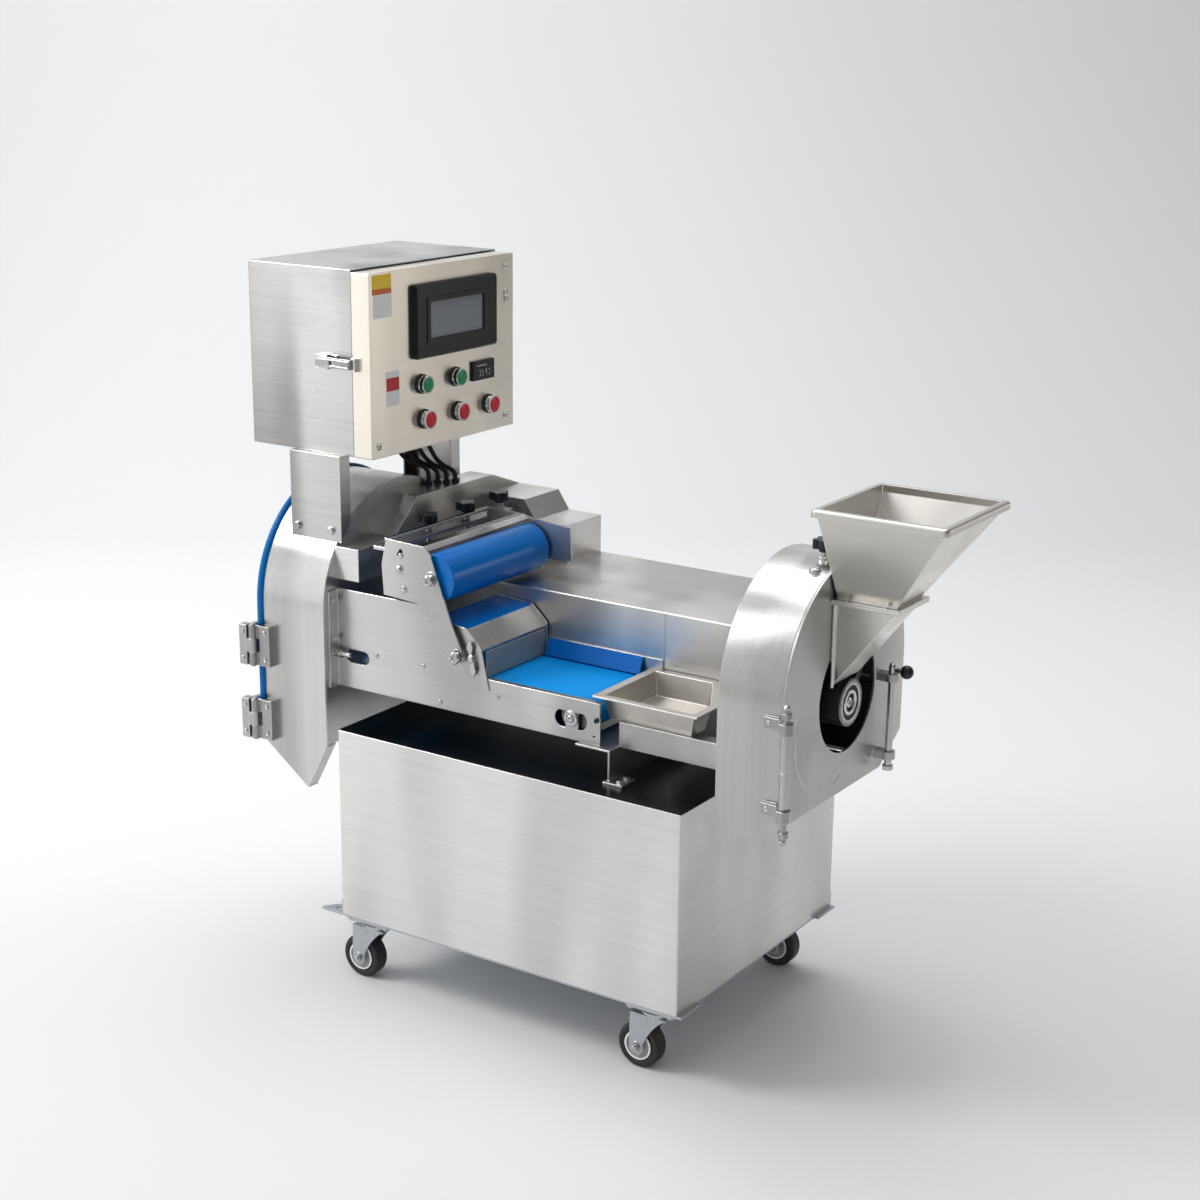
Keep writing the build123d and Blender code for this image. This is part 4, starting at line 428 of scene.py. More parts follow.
# Brighter and warmer than the box's steel: painted light and painted warm reflection on the control door.
DOOR_FACE_PAINTED_LIGHT = steel("Control door steel with painted light", 0.78, 0.30, Grain.HORIZONTAL, 0.10, warmth=0.17, sweep=0.14)
SHELL_STEEL = steel("Head shell steel", 0.58, 0.26, Grain.VERTICAL, 0.16, sweep=0.26)
DOOR_STEEL = steel("Head door steel", 0.58, 0.34, Grain.VERTICAL, 0.12, smudge=0.10, sweep=0.22)
PLATE_STEEL = steel("Conveyor plate steel", 0.58, 0.30, Grain.HORIZONTAL, 0.16, smudge=0.10, sweep=0.30)
# Dark steel with a strong painted edge highlight for the press frame's top faces: painted shade with bright
# edge lines.
PRESS_TOP_PAINTED_SHADE = steel("Press top painted shade", 0.12, 0.26, edge_light=5.0)
FLAP_STEEL = Finish(
    "Flap steel", (0.36, 0.345, 0.31), 0.5, 0.4, Grain.HORIZONTAL, 0.1, edge_mm=1.3, edge_light=2.0, shine=0.3
)
GUARD_STEEL = steel("Guard steel", 0.46, 0.36, Grain.HORIZONTAL, 0.12, warmth=0.08)
COVER_STEEL = steel("Drive cover steel", 0.66, 0.27, Grain.HORIZONTAL, 0.16, smudge=0.12, sweep=0.25)
HOPPER_STEEL = steel("Hopper steel", 0.68, 0.26, warmth=0.10, smudge=0.14, spots=0.25)
PAN_STEEL = steel("Pan steel", 0.58, 0.34, warmth=0.12, smudge=0.12)
BRIGHT_STEEL = steel("Bright fittings", 0.50, 0.18)
CHROME = steel("Chromed rings", 0.62, 0.08)
CAST_STEEL = steel("Cast hinge steel", 0.38, 0.26, smudge=0.2)
BLADE_STEEL = steel("Blade steel", 0.70, 0.18)
# Steel darkened for the drums inside the belt and the parts inside the right head: painted shade, plus
# smudges.
INNER_PAINTED_SHADE = steel("Inner steel with painted shade", 0.16, 0.36, smudge=0.15)
WELD_STEEL = steel("Weld beads", 0.50, 0.34, smudge=0.3)
ZINC = Finish("Zinc plate", (0.50, 0.52, 0.55), 0.40, 0.9, smudge=0.2, edge_light=0.4)
BELT_BLUE = Finish("Blue belt", (0.0005, 0.270, 0.720), 0.45, stipple=0.2, smudge=0.08, shine=0.12)
# The roller's own blue, also used as painted shade on the belt's upright faces and the guard's top facet.
ROLLER_AND_SHADE_BLUE = Finish("Blue roller and painted blue shade", (0.0005, 0.150, 0.520), 0.20, shine=0.25)
SEAL_BLUE = Finish("Blue seal", (0.0005, 0.150, 0.470), 0.34, shine=0.2)
RUBBER = Finish("Black rubber", (0.012, 0.012, 0.013), 0.60, stipple=0.35)
TYRE = Finish("Tyre rubber", (0.016, 0.016, 0.018), 0.52, stipple=0.25)
KNOB_BLACK = Finish("Black knob plastic", (0.008, 0.008, 0.009), 0.34, stipple=0.1)
PANEL_BLACK = Finish("Panel bezel", (0.006, 0.006, 0.007), 0.28, shine=0.3)
SCREEN = Finish("Screen glass", (0.200, 0.215, 0.240), 0.12, coat=0.6)
GREEN = Finish("Green lens", (0.001, 0.270, 0.095), 0.25, shine=0.3)
RED = Finish("Red lens", (0.640, 0.002, 0.012), 0.25, shine=0.3)
YELLOW = Finish("Yellow label", (0.90, 0.62, 0.02), 0.45)
ORANGE = Finish("Orange label", (0.72, 0.15, 0.02), 0.45)
WHITE = Finish("White label", (0.90, 0.90, 0.89), 0.5)
LABEL_RED = Finish("Red label", (0.58, 0.010, 0.014), 0.45)
DIGIT = Finish("Meter marks", (0.60, 0.62, 0.61), 0.5)
MOTOR_PAINT = Finish("Motor paint", (0.09, 0.14, 0.20), 0.45, stipple=0.2, coat=0.2)
MODULE_GREY = Finish("Module plastic", (0.42, 0.43, 0.44), 0.5)
MODULE_DARK = Finish("Dark module plastic", (0.05, 0.05, 0.055), 0.45)
WIRE_BLUE = Finish("Blue wire", (0.02, 0.08, 0.42), 0.4)
WIRE_BROWN = Finish("Brown wire", (0.16, 0.06, 0.02), 0.4)
WIRE_GREEN = Finish("Green and yellow wire", (0.22, 0.42, 0.03), 0.4)


# Small pieces are grown in the drawing's millimetres.


def basis(axis: Vector) -> Matrix:
    """Turns local X, Y and Z so that Z points along the axis and Y stays as upright as it can.

    Args:
        axis: Direction that local Z gets.

    Returns:
        The rotation.
    """
    along = axis.normalized()
    if abs(along.z) > 0.9:
        across = Vector((1.0, 0.0, 0.0))
    else:
        across = Vector((0.0, 0.0, 1.0)).cross(along).normalized()
    up = along.cross(across).normalized()
    across = up.cross(along).normalized()
    return Matrix((across, up, along)).transposed()


def drive_radius(style: Head, angle: float, reach: float) -> float:
    """Distance from a screw's axis to the edge of its drive recess.

    Args:
        style: Shape of the recess.
        angle: Angle round the axis in radians.
        reach: Farthest distance of the recess.

    Returns:
        The distance at that angle.
    """
    if style is Head.HEX:
        turn = (angle + math.pi / 6) % (math.pi / 3) - math.pi / 6
        return reach * math.cos(math.pi / 6) / math.cos(turn)
    half, width, waist = RECESS_ARMS[style]
    turn = (angle + half) % (2 * half) - half
    return reach if abs(turn) < width else reach * waist


def circle(radius: float, level: float, sides: int) -> list[Point]:
    """Points of a level circle round the local axis."""
    turns = [math.tau * i / sides for i in range(sides)]
    return [(radius * math.cos(a), radius * math.sin(a), level) for a in turns]


class Piece:
    """One visible piece, grown solid by solid in drawing millimetres, that rides on a CAD body."""

    def __init__(self, name: str, body: str, finish: Finish, slot: str) -> None:
        """Starts an empty piece.

        Args:
            name: Name of the piece.
            body: Body that carries it.
            finish: Its finish.
            slot: Name of its material slot; not used.
        """
        self.name = name
        self.body = body
        self.finish = finish
        self.slot = slot
        self.mesh = bmesh.new()
        self.random = random.Random(SEED + len(name))

    def _ring(self, at: Vector, turn: Matrix, points: Sequence[Point]) -> list[Vert]:
        """Adds a ring of vertices given in a local frame."""
        return [self.mesh.verts.new(row(at + turn @ Vector(p))) for p in points]

    def _loops(self, at: Point, axis: Point, layers: Iterable[Sequence[Point]]) -> list[list[Vert]]:
        """Adds one ring of vertices for each layer of local points."""
        turn, foot = basis(Vector(axis)), Vector(at)
        return [self._ring(foot, turn, layer) for layer in layers]

    def _bridge(self, low: list[Vert], high: list[Vert]) -> None:
        """Joins two rings with quads.

        Args:
            low: First ring.
            high: Second ring, with as many vertices.
        """
        count = len(low)
        for i in range(count):
            self.mesh.faces.new((low[i], low[(i + 1) % count], high[(i + 1) % count], high[i]))

    def _skin(self, rings: list[list[Vert]]) -> "Piece":
        """Joins rings one after the other and closes both ends.

        Args:
            rings: Rings from one end to the other.

        Returns:
            This piece.
        """
        for low, high in zip(rings, rings[1:]):
            self._bridge(low, high)
        self.mesh.faces.new(list(reversed(rings[0])))
        self.mesh.faces.new(rings[-1])
        return self

    def lathe(self, at: Point, axis: Point, profile: Sequence[Flat], sides: int = 32) -> "Piece":
        """Adds a turned solid.

        Args:
            at: Foot of the axis.
            axis: Direction of the axis.
            profile: Radius and height pairs from the foot to the top.
            sides: Number of sides round the axis.

        Returns:
            This piece.
        """
        return self._skin(self._loops(at, axis, [circle(r, height, sides) for r, height in profile]))

    def ring(
        self, at: Point, axis: Point, inner: float, outer: float, height: float, sides: int = 40
    ) -> "Piece":
        """Adds a flat ring or washer that stands on its foot.

        Args:
            at: Middle of its foot.
            axis: Direction in which it stands out.
            inner: Inner radius.
            outer: Outer radius.
            height: Height.
            sides: Number of sides.

        Returns:
            This piece.
        """
        corners = ((inner, 0.0), (outer, 0.0), (outer, height), (inner, height))
        loops = self._loops(at, axis, [circle(r, level, sides) for r, level in corners])
        for low, high in zip(loops, loops[1:] + loops[:1]):
            self._bridge(low, high)
        return self

    def prism(self, at: Point, axis: Point, shape: Sequence[Flat], height: float) -> "Piece":
        """Adds a flat shape raised along the axis."""
        layers = [[(u, v, level) for u, v in shape] for level in (0.0, height)]
        return self._skin(self._loops(at, axis, layers))

    def box(self, low: Point, high: Point) -> "Piece":
        """Adds a box between two corners.

        Args:
            low: Lowest corner.
            high: Highest corner.

        Returns:
            This piece.
        """
        x0, y0, z0 = low
        x1, y1, z1 = high
        wide, deep = x1 - x0, y1 - y0
        return self.prism(low, (0, 0, 1), [(0, 0), (wide, 0), (wide, deep), (0, deep)], z1 - z0)

    def hexagon(self, at: Point, axis: Point, radius: float, height: float) -> "Piece":
        """Adds a hexagonal nut or head."""
        return self.prism(at, axis, [(u, v) for u, v, _ in circle(radius, 0.0, 6)], height)

    def tube(self, points: Sequence[Point], radius: float, sides: int = 10, ripple: float = 0.0) -> "Piece":
        """Adds a round bar along a path.

        Args:
            points: Path in drawing millimetres.
            radius: Radius of the bar.
            sides: Number of sides round it.
            ripple: Share by which the radius swells and shrinks from point to point.

        Returns:
            This piece.
        """
        path = [Vector(p) for p in points]
        rings = []
        for i, at in enumerate(path):
            ahead = path[min(i + 1, len(path) - 1)] - path[max(i - 1, 0)]
            size = radius * (1.0 + (ripple if i % 2 else -ripple))
            rings.append(self._ring(at, basis(ahead), circle(size, 0.0, sides)))
        return self._skin(rings)

    def weld(self, start: Point, end: Point, radius: float = 1.1) -> "Piece":
        """Adds a rippled weld bead between two points.

        Args:
            start: First end.
            end: Second end.
            radius: Radius of the bead.

        Returns:
            This piece.
        """
        a, b = Vector(start), Vector(end)
        count = max(4, int((b - a).length / 2.2))
        return self.tube([tuple(a.lerp(b, i / count)) for i in range(count + 1)], radius, 8, 0.12)

    def coil(self, at: Point, radius: float, wire: float, turns: int, length: float) -> "Piece":
        """Adds an upright coil spring.

        Args:
            at: Middle of its foot.
            radius: Radius of the coil.
            wire: Radius of the wire.
            turns: Number of turns.
            length: Height of the spring.

        Returns:
            This piece.
        """
        steps = 14
        x, y, z = at
        path = []
        for i in range(turns * steps + 1):
            angle = math.tau * i / steps
            rise = length * i / (turns * steps)
            path.append((x + radius * math.cos(angle), y + radius * math.sin(angle), z + rise))
        return self.tube(path, wire, 8)

    def thread(self, at: Point, axis: Point, radius: float, length: float, pitch: float = 1.25) -> "Piece":
        """Adds a threaded rod as a stack of crests and roots.

        Args:
            at: Middle of its foot.
            axis: Direction in which it stands out.
            radius: Outer radius.
            length: Length of the rod.
            pitch: Distance between two crests.

        Returns:
            This piece.
        """
        profile: list[Flat] = [(radius * 0.7, 0.0)]
        for i in range(int(length / pitch)):
            profile += [(radius, (i + 0.35) * pitch), (radius * 0.86, (i + 0.85) * pitch)]
        profile.append((radius * 0.7, length))
        return self.lathe(at, axis, profile, 20)

    def screw(
        self, at: Point, axis: Point, radius: float, height: float, style: Head = Head.CROSS
    ) -> "Piece":
        """Adds a round screw head with a drive recess.

        Args:
            at: Point on the surface under the head.
            axis: Direction in which the head stands out.
            radius: Radius of the head.
            height: Height of the head.
            style: Shape of the recess.

        Returns:
            This piece.
        """
        angles = [math.tau * i / SCREW_SIDES for i in range(SCREW_SIDES)]
        spin = self.random.uniform(0.0, 1.0)
        layers = [circle(radius * wide, height * high, SCREW_SIDES) for wide, high in SCREW_HEAD]
        for reach, high in SCREW_RECESS:
            sizes = [drive_radius(style, a + spin, radius * reach) for a in angles]
            layers.append([(r * math.cos(a), r * math.sin(a), height * high) for r, a in zip(sizes, angles)])
        return self._skin(self._loops(at, axis, layers))

    def bolt(self, at: Point, axis: Point, radius: float, height: float) -> "Piece":
        """Adds a hexagon head on a washer, with the thread's end on top.

        Args:
            at: Middle of its foot.
            axis: Direction in which it stands out.
            radius: Radius of the head.
            height: Height of the head.

        Returns:
            This piece.
        """
        along = Vector(axis).normalized()
        top = Vector(at) + along * 1.0
        self.ring(at, axis, radius * 0.4, radius * 1.3, 1.0, 28)
        self.hexagon(tuple(top), axis, radius, height)
        return self.lathe(tuple(top + along * height), axis, [(radius * 0.5, 0.0), (radius * 0.4, 1.0)], 16)

    def close(self) -> bpy.types.Object:
        """Turns the grown mesh into an object on its body.

        Returns:
            The object.
        """
        bmesh.ops.recalc_face_normals(self.mesh, faces=self.mesh.faces)
        data = bpy.data.meshes.new(self.name)
        self.mesh.to_mesh(data)
        self.mesh.free()
        for polygon in data.polygons:
            polygon.use_smooth = True
        data.set_sharp_from_angle(angle=SMOOTH_BELOW)
        data.materials.append(self.finish.material())
        made = bpy.data.objects.new(self.name, data)
        bpy.context.scene.collection.objects.link(made)
        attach(made, self.body)
        log.info("%s: %d faces on %s", self.name, len(data.polygons), self.body)
        return made


def paint(name: str, finish: Finish, *rules: tuple[Finish, Rule]) -> None:
    """Gives a CAD node its finish, and other finishes to the faces that a rule picks.

    Args:
        name: Name of the CAD node.
        finish: Finish of the whole node.
        rules: Finish and test pairs; a test gets a face's middle in millimetres and its normal.
    """
    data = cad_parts[name].data
    data.materials.clear()
    for each in (finish, *(r[0] for r in rules)):
        data.materials.append(each.material())
    for polygon in data.polygons:
        centre = drawing(polygon.center)
        polygon.material_index = 0
        for number, (_, test) in enumerate(rules, start=1):
            if test(centre, polygon.normal):
                polygon.material_index = number


def paint_all(finish: Finish, *names: str) -> None:
    """Gives several CAD nodes the same finish."""
    for name in names:
        paint(name, finish)


METER_BARS = (((0, 0), (5, 1)), ((0, 5), (5, 6)), ((0, 10), (5, 11)), ((4, 0), (5, 11)), ((0, 5), (1, 11)))
WIRE_RUN = ((-506, 0, 1020), (-498, 0, 1012), (-500, 1, 1000), (-514, 2, 990), (-536, 2, 984))
CASTERS: dict[str, Flat] = {
    "front_left": (-287.0, 34.0),
    "front_right": (287.0, 34.0),
    "rear_left": (-287.0, 484.0),
    "rear_right": (287.0, 484.0),
}


# One class for each sub-assembly of the machine.


@dataclass
class SubAssembly:
    """Base of all sub-assemblies, which closes their pieces when they are dressed."""

    growing: list[Piece] = field(default_factory=list, init=False)

    def piece(self, name: str, finish: Finish, slot: str, body: str = "machine") -> Piece:
        """Starts a piece on a body."""
        self.growing.append(Piece(name, body, finish, slot))
        return self.growing[-1]

    def build(self) -> None:
        """Dresses the sub-assembly and closes its pieces."""
        self.dress()
        for each in self.growing:
            each.close()
        log.info("%s dressed", type(self).__name__)

    def dress(self) -> None:
        """Paints the nodes of this sub-assembly and starts its pieces."""
        raise NotImplementedError


@dataclass
class BaseCabinet(SubAssembly):
    """Cabinet with its base plate."""

    length: float = 680.0
    depth: float = 518.0
    bottom: float = 121.0
    deck: float = 457.0
    weld_radius: float = 1.0

    def dress(self) -> None:
        """Paints the cabinet and adds its weld seams and plate screws."""
        # The cabinet's top faces at the deck get near-black steel as painted shade.
        paint("base_cabinet", BASE_STEEL, (DECK_PAINTED_SHADE, lambda c, n: n.z > 0.9 and c.z > self.deck - 1))
        paint("base_plate", ZINC)
        half = self.length / 2
        seams = self.piece("cabinet_weld_seams", WELD_STEEL, "cabinet_steel")
        for x in (-half + 0.6, half - 0.6):
            for y in (0.6, self.depth - 0.6):
                seams.weld((x, y, self.bottom + 2), (x, y, self.bottom + 26), self.weld_radius)
        screws = self.piece("base_plate_screws", ZINC, "zinc_plate")
        for x in range(-240, 241, 120):
            for y in (22, self.depth - 22):
                screws.screw((x, y, self.bottom - 4), DOWN, 6, 3, Head.HEX)


@dataclass
class Casters(SubAssembly):
    """Four swivel casters."""

    trail: float = 30.0
    wheel_r: float = 38.0
    hub_r: float = 25.0
    fork_side: float = 20.0
    rivet_z: float = 88.0
    race_z: float = 104.0

    def dress(self) -> None:
        """Paints forks and wheels and adds axle ends, rivets, race rings, tread lines and hub rings."""
        paint("caster_plates", ZINC)
        for place, (x, y) in CASTERS.items():
            axle = x - self.trail
            paint(f"caster_fork_{place}", ZINC)
            reach = self.hub_r - 0.4
            hub = (MODULE_GREY, lambda c, n, a=axle: math.hypot(c.x - a, c.z - self.wheel_r) < reach)
            paint(f"caster_wheel_{place}", TYRE, hub)
            ends = self.piece(f"caster_axle_ends_{place}", BRIGHT_STEEL, "zinc_plate", f"fork_{place}")
            side = y - self.fork_side
            ends.lathe((axle, side - 4, self.wheel_r), FRONT, [(4.6, 0), (4.6, 3.4), (3.6, 4.2)], 20)
            ends.ring((axle, side, self.wheel_r), FRONT, 7.2, 9.5, 0.8)
            for dx in (-13, 5):
                ends.lathe((x + dx, side, self.rivet_z), FRONT, [(2.6, 0), (2.2, 1.2)], 14)
            race = self.piece(f"caster_race_{place}", BRIGHT_STEEL, "zinc_plate")
            race.ring((x, y, self.race_z), UP, 24.2, 28.5, 3.2)
            tread = self.piece(f"caster_tread_lines_{place}", TYRE, "caster_rubber", f"wheel_{place}")
            for side in (-7.5, 7.5):
                foot = (axle, y + side - 0.6, self.wheel_r)
                tread.ring(foot, BACK, self.wheel_r - 1, self.wheel_r + 0.25, 1.2, 56)
            trim = self.piece(f"caster_hub_rings_{place}", WHITE, "caster_rubber", f"wheel_{place}")
            for side in (-15.0, 13.6):
                trim.ring((axle, y + side, self.wheel_r), BACK, 21.5, 24.5, 1.4, 44)


@dataclass
class LeafyHead(SubAssembly):
    """Left cutting head with its door, seal, hinges and crescent blades."""

    spindle: Flat = (235.0, 640.0)
    hinge: Flat = (-540.0, 14.0)
    hinge_heights: Flat = (434.0, 568.0)
    grip_y: float = 400.0
    grip_ends: Flat = (560.0, 660.0)
    discharge: Flat = (-436.0, 324.0)

    def dress(self) -> None:
        """Paints the head and adds hinge screws, pin ends, blade bolts and door fittings."""
        paint("left_head_shell", SHELL_STEEL)
        paint_all(DOOR_STEEL, "left_head_plate", "left_door")
        paint("left_seal", SEAL_BLUE)
        paint("left_hinges", CAST_STEEL)
        paint("crescent_blades", BLADE_STEEL)
        paint("blade_spindle", BRIGHT_STEEL)
        hx, hy = self.hinge
        fixed = self.piece("left_hinge_screws", BRIGHT_STEEL, "forged_steel")
        moving = self.piece("left_door_hinge_screws", BRIGHT_STEEL, "forged_steel", "left_door")
        for middle in self.hinge_heights:
            for dz in (-24, 24):
                fixed.screw((-515, 16, middle + dz), FRONT, 4.2, 2.2, Head.HEX)
                moving.screw((-557, 7, middle + dz), FRONT, 4.2, 2.2, Head.HEX)
            for dz, way in ((-36, -1), (36, 1)):
                fixed.lathe((hx, hy, middle + dz), (0, 0, way), [(4.4, 0), (4.4, 1.6), (2.6, 3.0)], 20)
        self._blades()
        self._door()

    def _blades(self) -> None:
        """Adds the clamp bolts of the crescent blades and the spindle's nut."""
        y, z = self.spindle
        bolts = self.piece("blade_clamp_bolts", BRIGHT_STEEL, "bright_steel", "blades")
        for turn in range(4):
            angle = math.radians(30 + 90 * turn)
            foot = (-402, y + 36 * math.cos(angle), z + 36 * math.sin(angle))
            bolts.screw(foot, LEFT, 4.5, 3.5, Head.HEX)
        bolts.hexagon((-424, y, z), LEFT, 12, 8)

    def _door(self) -> None:
        """Adds the grip of the outer door and the welds of the discharge."""
        grip = self.piece("left_door_grip", BRIGHT_STEEL, "bright_steel", "left_door")
        bend = [(-545, 560), (-562, 562), (-566, 570), (-566, 650), (-562, 658), (-545, 660)]
        grip.tube([(x, self.grip_y, z) for x, z in bend], 5, 14)
        for z in self.grip_ends:
            grip.ring((-544.3, self.grip_y, z), LEFT, 4, 9, 1.5, 24)
        seams = self.piece("left_head_weld_seams", WELD_STEEL, "cabinet_steel")
        x, z = self.discharge
        for y in (31, 416):
            seams.weld((x, y, z), (x, y + 23, z), 1.4)


@dataclass
class Conveyor(SubAssembly):
    """Infeed conveyor with its plates, tail bearing, tension bolts and guard."""

    front: float = 64.0
    plate_screws: tuple[Flat, ...] = ((-305.0, 578.0), (-205.0, 578.0), (-170.0, 522.0), (-51.0, 554.0))
    tail: Flat = (95.0, 547.0)
    tension: Flat = (55.0, 572.0)
    wing_nut: Point = (-98.0, 56.0, 612.0)

    def dress(self) -> None:
        """Paints the conveyor and adds screws, tension rod, bearing cap and pivot fittings."""
        paint("conveyor_front_plate", PLATE_STEEL, (BRIGHT_STEEL, lambda c, n: c.y < 59 and c.x > -150))
        paint_all(PLATE_STEEL, "conveyor_bed", "support_leg")
        # The belt's upright faces get the darker blue as painted shade.
        paint("conveyor_belt", BELT_BLUE, (ROLLER_AND_SHADE_BLUE, lambda c, n: abs(n.y) > 0.5))
        # The drums inside the belt get dark steel as painted shade.
        paint_all(INNER_PAINTED_SHADE, "drive_drum", "tail_drum")
        # The guard's top steel facet gets the dark blue as painted shade and painted blue reflection under
        # the roller.
        top = (ROLLER_AND_SHADE_BLUE, lambda c, n: n.z > 0.95 and -180 < c.x < -116 and c.z > 655)
        paint("infeed_guard", GUARD_STEEL, top)
        paint("infeed_flap", FLAP_STEEL)
        screws = self.piece("conveyor_plate_screws", BRIGHT_STEEL, "bright_steel")
        for x, z in self.plate_screws:
            screws.screw((x, self.front, z), FRONT, 4.0, 2.0, Head.CROSS)
        for z in (596, 665):
            screws.bolt((-389, 53, z), RIGHT, 4.5, 4)
        dark = self.piece("conveyor_black_screws", RUBBER, "black_rubber")
        dark.screw((143, self.front - 2, 552), FRONT, 4.0, 2.4, Head.HEX)
        self._tension()
        self._tail_bearing()
        self._pivot()

    def _tension(self) -> None:
        """Adds the belt tension rod with its lock nuts beside the oval slot."""
        rod = self.piece("belt_tension_rod", BRIGHT_STEEL, "bright_steel")
        rod.thread((-406, *self.tension), RIGHT, 4.2, 52)
        for x in (-400, -387, -378):
            rod.hexagon((x, *self.tension), RIGHT, 7.5, 6)
        rod.ring((-389, *self.tension), RIGHT, 4.4, 9, 1.5)

    def _tail_bearing(self) -> None:
        """Adds the bearing cap and its screw."""
        x, z = self.tail
        cap = self.piece("tail_bearing_cap", BRIGHT_STEEL, "bright_steel")
        cap.ring((x, 60, z), FRONT, 8, 12, 1.2)
        cap.screw((x, 60, z), FRONT, 6.5, 3.4, Head.CROSS)

    def _pivot(self) -> None:
        """Adds the pivot screw of the press unit and its wing nut."""
        pivot = self.piece("press_pivot_screw", BRIGHT_STEEL, "bright_steel")
        pivot.screw((-123, 42, 613), FRONT, 11, 5, Head.CROSS)
        wing = [(-5, 0), (-9, 16), (-6, 25), (0, 27), (3, 20), (1, 8), (4, 0)]
        x, y, z = self.wing_nut
        pivot.lathe((x, y + 4, z), FRONT, [(7, 0), (7, 5), (5, 9)], 24)
        pivot.prism((x, y, z + 2), FRONT, wing, 2.5)
        pivot.prism((x, y, z - 2), FRONT, [(-u, -v) for u, v in wing], 2.5)


@dataclass
class PressUnit(SubAssembly):
    """Press unit with its roller and clamp knobs."""

    front: float = 50.0
    roller: Flat = (-175.0, 735.0)
    knob_x: float = -285.0
    knobs: tuple[float, ...] = (183.0, 290.0, 388.0)

    def dress(self) -> None:
        """Paints the press unit and adds slot screws, the roller's screw and springs."""
        # The press frame's top faces get dark steel with bright edges as painted shade and painted highlight.
        paint("press_frame", PLATE_STEEL, (PRESS_TOP_PAINTED_SHADE, lambda c, n: n.z > 0.9 and c.z > 780))
        paint("press_roller", ROLLER_AND_SHADE_BLUE)
        for number in range(1, len(self.knobs) + 1):
            paint(f"clamp_knob_{number}", KNOB_BLACK, (BRIGHT_STEEL, lambda c, n: c.z < 786))
        screws = self.piece("press_slot_screws", BRIGHT_STEEL, "bright_steel", "press")
        screws.screw((-238, self.front, 766), FRONT, 5.0, 2.6, Head.SLOT)
        screws.bolt((-242, self.front, 742), FRONT, 6.0, 3.5)
        screws.screw((-233, self.front, 709), FRONT, 6.5, 2.4, Head.SLOT)
        x, z = self.roller
        screws.screw((x, 42, z), FRONT, 10.0, 5.0, Head.CROSS)
        springs = self.piece("press_springs", BRIGHT_STEEL, "bright_steel", "press")
        for y in self.knobs:
            springs.coil((self.knob_x, y, 774.5), 7.0, 0.9, 4, 11)


@dataclass
class RootHead(SubAssembly):
    """Right slicing head with its door, hinge rod, lock rod and hub."""

    spindle: Flat = (235.0, 605.0)
    hinge: Flat = (507.0, 15.0)
    lock: Flat = (517.0, 345.0)
    rod_ends: Flat = (450.0, 656.0)
    straps: Flat = (481.0, 616.5)
    strap_height: float = 18.0

    def dress(self) -> None:
        """Paints the head and adds hub rings, hinge fittings and weld beads."""
        paint("right_head_shell", SHELL_STEEL, (CHROME, lambda c, n: c.z > 829 and c.y < 180 and c.x > 450))
        # Parts inside the head get dark steel as painted shade; the impeller's hub stays bright steel.
        paint_all(INNER_PAINTED_SHADE, "right_head_plate", "slicer_ring")
        paint("right_door", DOOR_STEEL)
        paint("impeller", INNER_PAINTED_SHADE, (BRIGHT_STEEL, self._on_hub))
        paint("right_hinge_rod", CAST_STEEL)
        paint("lock_rod", BRIGHT_STEEL, (KNOB_BLACK, lambda c, n: c.x > 536))
        paint("thickness_knob", KNOB_BLACK, (BRIGHT_STEEL, lambda c, n: c.z < 846))
        self._hub()
        self._hinge()

    def _on_hub(self, centre: Vector, normal: Vector) -> bool:
        """Tells whether a face of the impeller belongs to its polished hub."""
        y, z = self.spindle
        return centre.x > 455 and math.hypot(centre.y - y, centre.z - z) < 33

    def _hub(self) -> None:
        """Adds the black ring, the chromed ring and the centre bolt of the hub."""
        y, z = self.spindle
        black = self.piece("hub_black_ring", RUBBER, "black_rubber", "impeller")
        black.ring((496.2, y, z), RIGHT, 21, 27.4, 3.6, 56)
        black.ring((494.2, y, z), RIGHT, 9.5, 13.8, 3.0, 40)
        bright = self.piece("hub_centre_bolt", CHROME, "bright_steel", "impeller")
        bright.screw((494.0, y, z), RIGHT, 9.2, 5.6, Head.HEX)
        bright.ring((500.0, y, z), RIGHT, 15.6, 19.6, 0.8, 48)

    def _hinge(self) -> None:
        """Adds the end caps, screws and strap welds of the hinge rod and the nuts of the lock rod."""
        x, y = self.hinge
        fixed = self.piece("right_hinge_caps", BRIGHT_STEEL, "forged_steel")
        low, high = self.rod_ends
        for z, way in ((high, UP), (low, DOWN)):
            fixed.lathe((x, y, z), way, [(5.5, 0), (5.5, 3), (3.5, 6), (1.2, 7)], 24)
        welds = self.piece("right_strap_welds", WELD_STEEL, "cabinet_steel")
        for strap in self.straps:
            fixed.screw((472, 25.2, strap + self.strap_height / 2), FRONT, 4, 2, Head.HEX)
            for z in (strap, strap + self.strap_height):
                welds.weld((464, 31.4, z), (486, 31.4, z), 1.0)
        lock_x, lock_y = self.lock
        nuts = self.piece("lock_rod_nuts", BRIGHT_STEEL, "forged_steel", "lock_rod")
        nuts.hexagon((lock_x, lock_y, 466), UP, 9.5, 7)
        nuts.lathe((lock_x, lock_y, 640), UP, [(5.4, 0), (4.6, 3), (2.0, 4.4)], 20)


